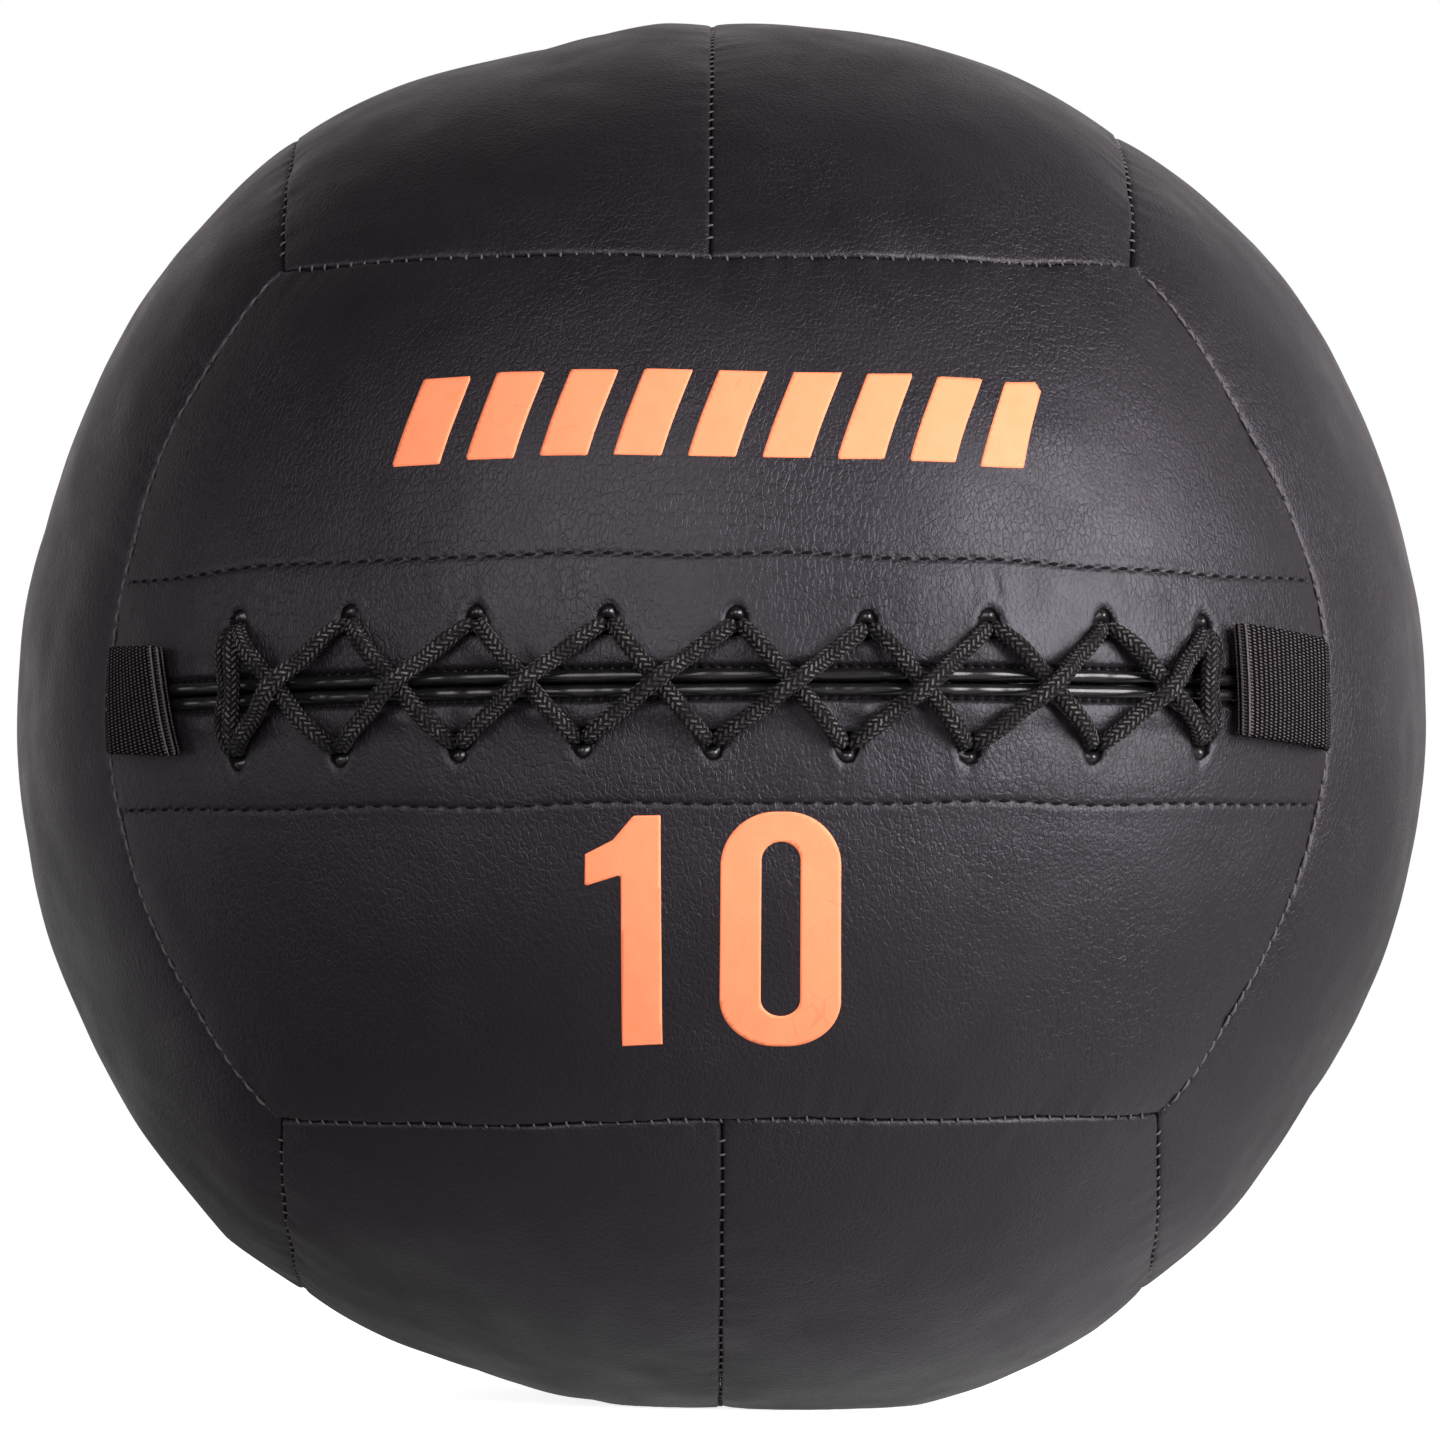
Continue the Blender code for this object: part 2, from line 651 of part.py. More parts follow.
def build_tab(name, side):
    """A folded webbing tab, whose sewn root lies in the side seam and is its hinge."""
    hinge = equator_point(0, tab_root_height(), side)
    data = bpy.data.curves.new(name, "CURVE")
    data.dimensions = "2D"
    data.fill_mode = "BOTH"
    data.extrude = TAB_WIDTH / 2
    for outline in tab_outlines():
        spline = data.splines.new("POLY")
        spline.points.add(len(outline) - 1)
        spline.use_cyclic_u = True
        for target, (along, height) in zip(spline.points, outline):
            point = equator_point(along, height, side) - hinge
            target.co = (point.x, point.y, 0, 1)
    tab = add_piece(name, data, WEBBING)
    tab.location = hinge
    return tab


def filling_ball():
    """Closed outer surface of the filling, joined from the twelve panels' grids."""
    whole = bmesh.new()
    rows = even_rows(0, BALL_RADIUS * SEAM_SHARE, PANEL_SHORT_STEPS)
    for turn in PANEL_TURN_STEPS.values():
        patch = panel_grid(PANEL_LONG_STEPS, PANEL_SHORT_STEPS)
        for vertex in patch.verts:
            canonical = grid_direction(vertex.co.x, rows[round(vertex.co.y)], 0)
            vertex.co = rested(point_at(canonical, turn, FILLING_TOP), FILLING_TOP)
        patch_data = mesh_data("patch", patch)
        whole.from_mesh(patch_data)
        bpy.data.meshes.remove(patch_data)
    bmesh.ops.remove_doubles(whole, verts=whole.verts, dist=WELD_REACH)
    return whole


def build_filling(name, side, cavity):
    """One half of the textile filling, packed around the weight core."""
    mesh = filling_ball()
    everything = mesh.verts[:] + mesh.edges[:] + mesh.faces[:]
    bmesh.ops.bisect_plane(
        mesh,
        geom=everything,
        plane_co=(0, 0, side * PIECE_GAP / 2),
        plane_no=(0, 0, side),
        clear_inner=True,
    )
    rim = [edge for edge in mesh.edges if edge.is_boundary]
    bmesh.ops.edgeloop_fill(mesh, edges=rim)
    bmesh.ops.recalc_face_normals(mesh, faces=mesh.faces)
    half = add_piece(name, mesh_data(name, mesh), TEXTILE)
    cut_from(half, cavity)
    return half


def globe_profile(radius, top):
    """(radius, height) down the outside of a ball, from the given height to its lowest point."""
    first = math.asin(top / radius)
    points = []
    for step in range(CORE_ARC_STEPS + 1):
        angle = first - (first + QUARTER_TURN) * step / CORE_ARC_STEPS
        points.append((radius * math.cos(angle), radius * math.sin(angle)))
    points[-1] = (0, -radius)
    return points


def lathe(data_name, profile):
    """Mesh data of a profile's line, for spin to turn."""
    mesh = bmesh.new()
    vertices = [mesh.verts.new((x, 0, z)) for x, z in profile]
    for upper, lower in zip(vertices, vertices[1:]):
        mesh.edges.new((upper, lower))
    return mesh_data(data_name, mesh)


def spin(piece):
    """Turns a piece's profile about its own Z axis."""
    screw = piece.modifiers.new("spin", "SCREW")
    screw.angle = FULL_TURN
    screw.steps = LATHE_STEPS
    screw.render_steps = LATHE_STEPS
    screw.use_merge_vertices = True
    screw.merge_threshold = WELD_REACH


def build_core():
    """The weight core: granules in a tied canvas bag. It gives the filling's cavity cutter."""
    bag_radius = CORE_RADIUS + PIECE_GAP + BAG_WALL
    shoulder = math.sqrt(bag_radius**2 - NECK_RADIUS**2)
    bag_top = shoulder + NECK_HEIGHT
    filled = globe_profile(CORE_RADIUS, shoulder * CORE_RADIUS / bag_radius)[CORE_EMPTY_STEPS:]
    ballast_profile = [(0, filled[0][1])] + filled
    ballast = add_piece("core_ballast", lathe("core_ballast", ballast_profile), GRANULES)
    spin(ballast)
    bag_profile = [(NECK_RADIUS, bag_top)] + globe_profile(bag_radius, shoulder)
    bag = add_piece("core_bag", lathe("core_bag", bag_profile), CANVAS)
    spin(bag)
    thicken(bag, BAG_WALL)
    tie_ring = NECK_RADIUS + PIECE_GAP + TIE_RADIUS
    bpy.ops.mesh.primitive_torus_add(
        major_segments=LATHE_STEPS,
        minor_segments=TIE_SIDES,
        major_radius=tie_ring,
        minor_radius=TIE_RADIUS,
    )
    made = bpy.context.object
    tie_data = made.data.copy()
    bpy.data.objects.remove(made)
    tie = add_piece("core_bag_tie", tie_data, CORD)
    tie.location.z = shoulder + NECK_HEIGHT * TIE_HEIGHT_SHARE
    neck_room = tie_ring + TIE_RADIUS + PIECE_GAP
    room_radius = bag_radius + PIECE_GAP
    room_top = bag_top + PIECE_GAP
    room_shoulder = shoulder * room_radius / bag_radius
    around = globe_profile(room_radius, room_shoulder)[1:]
    cavity_profile = [(0, room_top), (neck_room, room_top), (neck_room, room_shoulder)] + around
    cavity = add_cutter("core_cavity", lathe("core_cavity", cavity_profile))
    spin(cavity)
    return cavity


def clear_scene():
    """Removes whatever the scene starts with."""
    for item in list(bpy.data.objects):
        bpy.data.objects.remove(item)


def new_collection(name):
    """A collection linked to the scene."""
    collection = bpy.data.collections.new(name)
    bpy.context.scene.collection.children.link(collection)
    return collection


clear_scene()
parts = new_collection("wall_ball")
cutters = new_collection("cutters")

# The lace stands proud of the front, so the centre moves back until the whole box is centred
ball_centre = bpy.data.objects.new("ball_centre", None)
ball_centre.location = (0, (LACE_STAND + PANEL_CROWN) / 2, CENTRE_HEIGHT)
parts.objects.link(ball_centre)

holes = {
    UPPER_TURN_STEPS: build_hole_cutter("upper_holes", 1),
    LOWER_TURN_STEPS: build_hole_cutter("lower_holes", -1),
}
for panel_name, panel_turn in PANEL_TURN_STEPS.items():
    skin = build_panel(panel_name, panel_turn)
    if panel_turn in holes:
        cut_from(skin, holes[panel_turn])
    build_pad(panel_name, panel_turn)

facing_names = {UPPER_TURN_STEPS: "lace_facing_upper", LOWER_TURN_STEPS: "lace_facing_lower"}
for facing_turn, facing_name in facing_names.items():
    facing_rows = panel_rows(FACING_INSET, 0)[: FACING_ROWS + 1]
    facing = build_strip(
        facing_name,
        facing_turn,
        facing_rows,
        FACING_END_MARGIN,
        FACING_TOP,
        FACING_THICKNESS,
    )
    cut_from(facing, holes[facing_turn])
tongue_reach = panel_rows(0, 0)[FACING_ROWS] - TONGUE_EDGE_MARGIN
build_strip(
    "slit_tongue",
    UPPER_TURN_STEPS,
    even_rows(-tongue_reach, tongue_reach, TONGUE_SHORT_STEPS),
    TONGUE_END_MARGIN,
    TONGUE_TOP,
    TONGUE_THICKNESS,
)
build_lace()
build_tab("webbing_tab_left", -1)
build_tab("webbing_tab_right", 1)
core_cavity = build_core()
build_filling("filling_upper", 1, core_cavity)
build_filling("filling_lower", -1, core_cavity)
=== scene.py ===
"""Looks of a wall ball with a laced front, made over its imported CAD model.

Lengths are in metres, +Z is up, the laced face looks along -Y, and the ball rests on z = 0.
The ball's form is worked out once, and every piece is laid on it by longitude and latitude.
"""

import logging
import math
from dataclasses import dataclass, field
from enum import Enum
from typing import Any, Callable, ClassVar

import bmesh
import bpy
import numpy as np
from mathutils import Matrix, Vector


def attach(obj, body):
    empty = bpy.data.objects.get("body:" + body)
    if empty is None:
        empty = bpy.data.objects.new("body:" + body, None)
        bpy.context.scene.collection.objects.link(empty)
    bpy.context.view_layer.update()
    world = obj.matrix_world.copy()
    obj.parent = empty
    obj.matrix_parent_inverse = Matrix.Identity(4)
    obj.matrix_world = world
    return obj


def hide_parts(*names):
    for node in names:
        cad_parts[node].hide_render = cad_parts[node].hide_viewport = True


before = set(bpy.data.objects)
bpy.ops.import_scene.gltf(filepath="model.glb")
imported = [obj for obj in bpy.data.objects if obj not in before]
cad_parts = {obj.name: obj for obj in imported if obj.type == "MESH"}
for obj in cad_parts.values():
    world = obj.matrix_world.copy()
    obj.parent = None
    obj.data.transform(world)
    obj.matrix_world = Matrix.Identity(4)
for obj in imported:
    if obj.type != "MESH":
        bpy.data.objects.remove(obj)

log = logging.getLogger("wall_ball")

Array = np.ndarray
Pair = tuple[float, float]
Colour = tuple[float, float, float]
Three = tuple[float, float, float]
Four = tuple[float, float, float, float]
Shape = tuple[Array, list[list[int]]]  # Points and faces

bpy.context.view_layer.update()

# Seam planes stand this share of the radius from the centre, and cut circles of the rim share
SEAM_SHARE = 1 / math.sqrt(3)
RIM_SHARE = math.sqrt(2 / 3)
SEAM_LATITUDE = math.asin(SEAM_SHARE)
SIDE_SEAM_ANGLE = math.acos(SEAM_SHARE)


class Ripple:
    """Smooth seeded unevenness, made of plane waves of about one length."""

    def __init__(self, wavelength: float, seed: int, dimensions: int = 3) -> None:
        """Draws the waves.

        Args:
            wavelength: Usual distance from crest to crest.
            seed: Number that fixes the draw.
            dimensions: 3 for points in space, 1 for places along a line.
        """
        draw = np.random.default_rng(seed)
        count = 28
        ways = draw.normal(size=(count, dimensions))
        ways /= np.linalg.norm(ways, axis=1, keepdims=True)
        lengths = wavelength * draw.uniform(0.65, 1.6, (count, 1))
        self.turns = ways * (2 * math.pi / lengths)
        self.starts = draw.uniform(0, 2 * math.pi, count)
        self.share = math.sqrt(2 / count)

    def at(self, points: Array) -> Array:
        """Unevenness at points of shape (n, dimensions), about -2 to 2."""
        return np.cos(points @ self.turns.T + self.starts).sum(axis=1) * self.share

    def along(self, places: Array) -> Array:
        """Unevenness at places along a line."""
        return self.at(np.reshape(places, (-1, 1))).reshape(np.shape(places))


@dataclass(frozen=True)
class Ramp:
    """An eased rise from 0 to 1 over a length from a start, backwards if it is negative."""

    start: float
    length: float

    def over(self, places: Array) -> Array:
        """The rise at these places."""
        share = np.clip((places - self.start) / self.length, 0, 1)
        return share * share * (3 - 2 * share)


@dataclass(frozen=True)
class Swell:
    """A bell-shaped rise: where it is, how wide and how high."""

    middle: float
    width: float
    height: float = 1.0

    def over(self, places: Array) -> Array:
        """The rise at these places."""
        return self.height * np.exp(-(((places - self.middle) / self.width) ** 2))


def reached_along(points: Array) -> Array:
    """How far each point of a line lies along it."""
    lengths = np.linalg.norm(np.diff(points, axis=0), axis=1)
    return np.concatenate([[0], np.cumsum(lengths)])


def grid_quads(number: Array) -> Array:
    """Faces of a grid of corner numbers."""
    corners = (number[:-1, :-1], number[:-1, 1:], number[1:, 1:], number[1:, :-1])
    return np.stack([corner.ravel() for corner in corners], axis=1)


def tube_quads(rings: int, sides: int) -> Array:
    """Faces of a tube of rings of corners, of shape (rings - 1, sides, 4)."""
    base = np.arange(rings - 1)[:, None] * sides
    here = np.arange(sides)[None, :]
    after = (here + 1) % sides
    corners = (base + here, base + after, base + after + sides, base + here + sides)
    return np.stack(corners, axis=-1)


def open_edges(quads: Array) -> Array:
    """The directed edges that belong to one face only."""
    ends = np.concatenate([quads[:, [i, (i + 1) % 4]] for i in range(4)])
    size = quads.max() + 1
    forward, backward = ends[:, 0] * size + ends[:, 1], ends[:, 1] * size + ends[:, 0]
    return ends[~np.isin(forward, backward)]


def walls_under(edges: Array, fresh: Array) -> Array:
    """Faces from open edges down to the fresh corners that stand under their own."""
    after, before = edges[:, 1], edges[:, 0]
    return np.stack([after, before, fresh[before], fresh[after]], axis=1)


def joined(parts: list[Shape]) -> Shape:
    """The points and faces of several shapes as one."""
    points, faces, count = [], [], 0
    for part_points, part_faces in parts:
        faces += [[corner + count for corner in face] for face in part_faces]
        points.append(part_points)
        count += len(part_points)
    return np.concatenate(points), faces


def graded(length: float, fine: float, coarse: float, growth: float = 1.4) -> Array:
    """Places along a length, close together at both ends.

    Args:
        length: Whole length.
        fine: First cell at each end.
        coarse: Cell in the middle.
        growth: How much each cell grows on the one before.

    Returns:
        The places from 0 to the length.
    """
    cells = [fine]
    while cells[-1] * growth < coarse:
        cells.append(cells[-1] * growth)
    edge = np.concatenate([[0], np.cumsum(cells)])
    middle = length - 2 * edge[-1]
    count = max(2, round(middle / coarse))
    inner = edge[-1] + middle * np.arange(1, count) / count
    return np.concatenate([edge, inner, (length - edge)[::-1]])


def directions(longitude: Array, latitude: Array) -> Array:
    """Unit vectors from the ball's centre. Longitude 0 is the front and grows towards +X."""
    flat = np.cos(latitude)
    ways = [flat * np.sin(longitude), -flat * np.cos(longitude), np.sin(latitude)]
    return np.stack(ways, axis=-1)


def side_reach(latitude: Array) -> Array:
    """Longitude of the front face's side seam at a latitude."""
    return np.arccos(np.minimum(1, SEAM_SHARE / np.cos(latitude)))


class PanelPlace(Enum):
    """A panel's place: how far its coordinates are cycled, and the signs that they take first."""

    front_upper = (0, (1, 1, 1))
    front_lower = (0, (-1, 1, -1))
    back_upper = (0, (-1, -1, 1))
    back_lower = (0, (1, -1, -1))
    bottom_right = (1, (1, 1, 1))
    bottom_left = (1, (-1, 1, -1))
    top_right = (1, (-1, -1, 1))
    top_left = (1, (1, -1, -1))
    left_back = (2, (1, 1, 1))
    left_front = (2, (-1, 1, -1))
    right_back = (2, (-1, -1, 1))
    right_front = (2, (1, -1, -1))

    def turned(self, ways: Array) -> Array:
        """Directions of the front upper panel, carried to this panel."""
        cycle, signs = self.value
        return np.roll(ways * np.array(signs), cycle, axis=-1)

    @property
    def seed(self) -> int:
        """A number of the panel's own."""
        return 11 + 7 * list(PanelPlace).index(self)

    @property
    def is_front(self) -> bool:
        """Whether it is one of the two laced panels."""
        return self in (PanelPlace.front_upper, PanelPlace.front_lower)

    @classmethod
    def beside_slit(cls, side: int) -> "PanelPlace":
        """The laced panel over the slit, or under it if side is -1."""
        return cls.front_upper if side > 0 else cls.front_lower


@dataclass(frozen=True)
class BallForm:
    """The stuffed ball's shape, from which every layer keeps its distance."""

    radius: float = 0.178
    axis_share: float = 0.992
    squareness_share: float = 0.037
    panel_crown: float = 0.0015
    rest_flat_depth: float = 0.003
    lace_stand: float = 0.009468
    dent_turns_deg: tuple[float, ...] = (10.0, 168.0)
    # Depth of those dents over degrees from their middles
    dent: Swell = Swell(0.0, 8.0, 0.0022)
    lump_depths: tuple[float, ...] = (0.00022, 0.00005)
    lump_lengths: tuple[float, ...] = (0.052, 0.017)
    # The settled outline as seen from the front: turns from +X towards +Z, and radii
    outline_turns_deg: tuple[float, ...] = (
        0, 20, 42, 60, 80, 95, 100, 105, 120, 127, 140, 165, 180, 210, 227, 240, 250, 260,
        270, 280, 302, 315, 328, 345, 360,
    )
    outline_radii: tuple[float, ...] = (
        0.1790, 0.1801, 0.1822, 0.1802, 0.1779, 0.1761, 0.1746, 0.1747, 0.1810,
        0.1835, 0.1822, 0.1773, 0.1776, 0.1785, 0.1815, 0.1780, 0.1744, 0.1738,
        0.1776, 0.1792, 0.1817, 0.1804, 0.1773, 0.1790, 0.1790,
    )
    near_outline: Ramp = Ramp(0.78, 0.35 - 0.78)
    slit_tilt_deg: float = 0.85
    slit_lift_deg: float = 0.37
    # How far the skin has crept, as shares of the radius
    upper_creep: float = 0.017
    right_creep: float = 0.024
    low_creep: float = 0.009
    low_lift: float = 0.026
    low_sag: float = 0.014
    top_lift: float = 0.012
    right_bow: float = 0.025
    left_bow: float = 0.026
    # Where it has crept, sideways and by height, on a ball of radius 1
    upper_part: Ramp = Ramp(0.10, 0.26)
    low_part: Ramp = Ramp(-0.2, -0.35)
    lowest_part: Ramp = Ramp(-0.45, -0.2)
    right_part: Ramp = Ramp(0.15, 0.4)
    left_part: Ramp = Ramp(-0.55, -0.25)
    left_band: Swell = Swell(0.03, 0.19)
    bow_part: Ramp = Ramp(0.35, 0.2)
    bow_bands: tuple[Swell, ...] = (Swell(0.40, 0.14), Swell(-0.31, 0.15))
    sag_left: Swell = Swell(-0.3, 0.2)
    sag_right: Ramp = Ramp(0.2, 0.3)
    top_left: Swell = Swell(-0.25, 0.25)
    top_right: Ramp = Ramp(0.25, 0.2)
    right_drop_shares: Pair = (0.8, 0.7)
    soft_dent_way: Three = (-0.70, -0.33, -0.635)
    soft_dent: Swell = Swell(0.0, 0.062, 0.0005)

    @property
    def centre(self) -> Array:
        """The ball's centre."""
        return np.array((0, (self.lace_stand + self.panel_crown) / 2, self.centre_height))

    @property
    def centre_height(self) -> float:
        """Height of the centre over the floor."""
        down = self.stuffed(np.array([[0.0, 0.0, -1.0]]))[0]
        return float(down) - self.rest_flat_depth

    def stuffed(self, ways: Array) -> Array:
        """Radius of the even stuffed ball, fuller between the axes than on them."""
        roundness = (ways**4).sum(axis=-1)
        grown = self.radius * self.axis_share * (1 + self.squareness_share * (1 - roundness))
        for turn in self.dent_turns_deg:
            lean = math.radians(turn)
            toward = np.array((-math.sin(lean), 0, math.cos(lean)))
            away = np.degrees(np.arccos(np.clip(ways @ toward, -1, 1)))
            grown = grown - self.dent.over(away)
        return grown

    def radius_at(self, ways: Array) -> Array:
        """Radius at unit directions of shape (n, 3), settled and uneven.

        Args:
            ways: Unit vectors from the centre.

        Returns:
            The distance from the centre to the skin, without its crown.
        """
        grown = self.stuffed(ways)
        turn = np.arctan2(ways[:, 2], ways[:, 0])
        rim = np.stack([np.cos(turn), np.zeros_like(turn), np.sin(turn)], axis=-1)
        turn_deg = np.degrees(turn) % 360
        settled = np.interp(turn_deg, self.outline_turns_deg, self.outline_radii)
        near_rim = self.near_outline.over(np.abs(ways[:, 1]))
        grown = grown * (1 + (settled / self.stuffed(rim) - 1) * near_rim)
        apart = np.linalg.norm(ways - np.array(self.soft_dent_way), axis=1)
        grown = grown - self.soft_dent.over(apart)
        for seed, (depth, length) in enumerate(zip(self.lump_depths, self.lump_lengths)):
            grown = grown + depth * Ripple(length, 5 + seed).at(ways * self.radius)
        return grown

    def crept(self, ways: Array) -> Array:
        """Directions after the skin has crept a little over the filling.

        Args:
            ways: Unit vectors from the centre, of shape (n, 3).

        Returns:
            The unit vectors where those places of the skin have come to lie.
        """
        x, z = ways[:, 0], ways[:, 2]
        upper, low = self.upper_part.over(z), self.low_part.over(z)
        low_share, top_share = self.right_drop_shares
        moved = ways.copy()
        moved[:, 0] -= upper * (self.upper_creep + self.right_creep * self.right_part.over(x))
        moved[:, 0] += self.low_creep * self.lowest_part.over(z)
        moved[:, 0] -= self.left_bow * self.left_part.over(x) * self.left_band.over(z)
        bows = sum(band.over(z) for band in self.bow_bands)
        moved[:, 0] -= self.right_bow * self.bow_part.over(x) * bows
        moved[:, 2] += self.low_lift * low
        sagged = self.sag_left.over(x) - low_share * self.sag_right.over(x)
        moved[:, 2] -= self.low_sag * low * sagged
        lifted = self.top_left.over(x) - top_share * self.top_right.over(x)
        moved[:, 2] += self.top_lift * upper * lifted
        return moved / np.linalg.norm(moved, axis=1, keepdims=True)

    def crown_at(self, longitude: Array, latitude: Array, whole: bool) -> Array:
        """How far a panel swells between its seams.

        Args:
            longitude: Longitude on the canonical panel.
            latitude: Latitude on the canonical panel.
            whole: Whether the two panels of the face swell as one, as the front ones do.

        Returns:
            The swelling at each place.
        """
        along = longitude / side_reach(latitude)
        rise = np.clip(np.sin(latitude) / RIM_SHARE, -1, 1)
        across = np.arcsin(rise) / math.radians(45)
        if not whole:
            across = 2 * across - 1
        return self.panel_crown * np.maximum(0, 1 - along**4) * np.maximum(0, 1 - across**4)

    def placed(self, place: PanelPlace, longitude: Array, latitude: Array, height: Array) -> Array:
        """Points over or under a panel's skin.

        Args:
            place: The panel whose longitude and latitude these are.
            longitude: Longitude on the canonical panel.
            latitude: Latitude on the canonical panel.
            height: Height over the skin, negative under it.

        Returns:
            Points of shape (n, 3), held above the floor.
        """
        settled = latitude
        if place.is_front:
            rise = math.sin(math.radians(self.slit_tilt_deg)) * np.sin(longitude)
            side = 1 if place is PanelPlace.front_upper else -1
            rise = rise + side * math.radians(self.slit_lift_deg)
            settled = latitude + rise * np.maximum(0, 1 - (latitude / SEAM_LATITUDE) ** 2)
        share = longitude / side_reach(latitude)
        ways = self.crept(place.turned(directions(share * side_reach(settled), settled)))
        reach = self.radius_at(ways) + self.crown_at(longitude, latitude, place.is_front) + height
        points = self.centre + ways * reach[:, None]
        points[:, 2] = np.maximum(points[:, 2], np.maximum(0, -height))
        return points

    def on_front(self, along: Array, across: Array, height: Array) -> Array:
        """Points over the front face, from distances along and across the slit on the skin."""
        place = PanelPlace.front_upper
        return self.placed(place, along / self.radius, across / self.radius, height)


class NodeTree:
    """Nodes under construction, with short ways to add and join them."""

    def __init__(self, owner: bpy.types.Material | bpy.types.World) -> None:
        """Starts on the nodes of a material or of the surroundings."""
        owner.use_nodes = True
        self.tree = owner.node_tree

    def give(self, socket: bpy.types.NodeSocket, value: Any) -> None:
        """Links a socket to another, or sets its value."""
        if isinstance(value, bpy.types.NodeSocket):
            self.tree.links.new(value, socket)
        else:
            socket.default_value = value

    def add(self, kind: str, settings: dict[str, Any] | None = None, **inputs: Any) -> Any:
        """Adds a node.

        Args:
            kind: The node's type, without the words ShaderNode.
            settings: Properties of the node itself.
            inputs: Values or sockets for its inputs. in0 is the first input, and other names
                are the inputs' own with _ for a space.

        Returns:
            The node.
        """
        node = self.tree.nodes.new("ShaderNode" + kind)
        for key, value in (settings or {}).items():
            setattr(node, key, value)
        for key, value in inputs.items():
            numbered = key[:2] == "in" and key[2:].isdigit()
            self.give(node.inputs[int(key[2:]) if numbered else key.replace("_", " ")], value)
        return node

    def surface_place(self) -> Any:
        """The place on the piece, in its own coordinates."""
        return self.add("TexCoord").outputs["Object"]

    def math(self, operation: str, *values: Any) -> Any:
        """The output of a Math node over these values or sockets."""
        named = {f"in{index}": value for index, value in enumerate(values)}
        return self.add("Math", {"operation": operation}, **named).outputs[0]

    def times(self, first: Any, *others: Any) -> Any:
        """The product of values or sockets."""
        for other in others:
            first = self.math("MULTIPLY", first, other)
        return first

    def own_map(self, name: str) -> tuple[Any, Any]:
        """The two places of a piece's own UV map."""
        where = self.add("UVMap", {"uv_map": name}).outputs[0]
        split = self.add("SeparateXYZ", None, Vector=where)
        return split.outputs["X"], split.outputs["Y"]

    def mixed(self, share: Any, first: Any, second: Any) -> Any:
        """Two values mixed by a share."""
        return self.add("Mix", None, Factor=share, in2=first, in3=second).outputs[0]

    def arch(self, place: Any) -> Any:
        """An arch from 0 over 1 back to 0 in every whole step of a place."""
        return self.math("SINE", self.times(self.math("FRACT", place), math.pi))

    def cells(self, where: Any, scale: float, feature: str = "F1", **inputs: Any) -> Any:
        """The distance of a Voronoi texture."""
        made = self.add("TexVoronoi", {"feature": feature}, Vector=where, Scale=scale, **inputs)
        return made.outputs["Distance"]

    def noise(self, where: Any, scale: float, detail: float = 2.0, swirl: float = 0.0) -> Any:
        """The factor of a Noise texture."""
        made = self.add(
            "TexNoise", None, Vector=where, Scale=scale, Detail=detail, Distortion=swirl
        )
        return made.outputs["Fac"]

    def ranged(self, value: Any, low: float, high: float, to_low: float, to_high: float) -> Any:
        """A value carried from one range to another, and kept in it."""
        made = self.add("MapRange", None, in0=value, in1=low, in2=high, in3=to_low, in4=to_high)
        return made.outputs["Result"]

    def blend(self, share: Any, first: Any, second: Any) -> Any:
        """Two colours mixed by a share."""
        made = self.add("Mix", {"data_type": "RGBA"}, in0=share, in6=first, in7=second)
        return made.outputs[2]

    def raised(self, height: Any, depth: float, strength: float = 1.0, onto: Any = None) -> Any:
        """A Bump node's normal for a height in 0..1 that stands for this depth."""
        extra = {} if onto is None else {"Normal": onto}
        made = self.add("Bump", None, Height=height, Distance=depth, Strength=strength, **extra)
        return made.outputs["Normal"]


class MaterialTree(NodeTree):
    """A Principled material under construction."""

    def __init__(self, name: str) -> None:
        """Starts a material with this name."""
        self.material = bpy.data.materials.new(name)
        super().__init__(self.material)

    def finish(self, **inputs: Any) -> bpy.types.Material:
        """Joins values or sockets to the shader, and gives the material."""
        shader = self.tree.nodes["Principled BSDF"]
        for key, value in inputs.items():
            self.give(shader.inputs[key.replace("_", " ")], value)
        return self.material


def rgba(colour: Colour) -> Four:
    """A colour with full cover."""
    return (*colour, 1.0)


@dataclass(frozen=True)
class Finish:
    """A surface finish that is made a material once."""

    name: str
    slot: str
    made: ClassVar[dict[str, bpy.types.Material]] = {}

    def material(self) -> bpy.types.Material:
        """The finish's material."""
        if self.name not in self.made:
            self.made[self.name] = self.build(MaterialTree(self.name))
        return self.made[self.name]

    def build(self, tree: MaterialTree) -> bpy.types.Material:
        """Joins the finish's nodes. Each finish has its own."""
        raise NotImplementedError


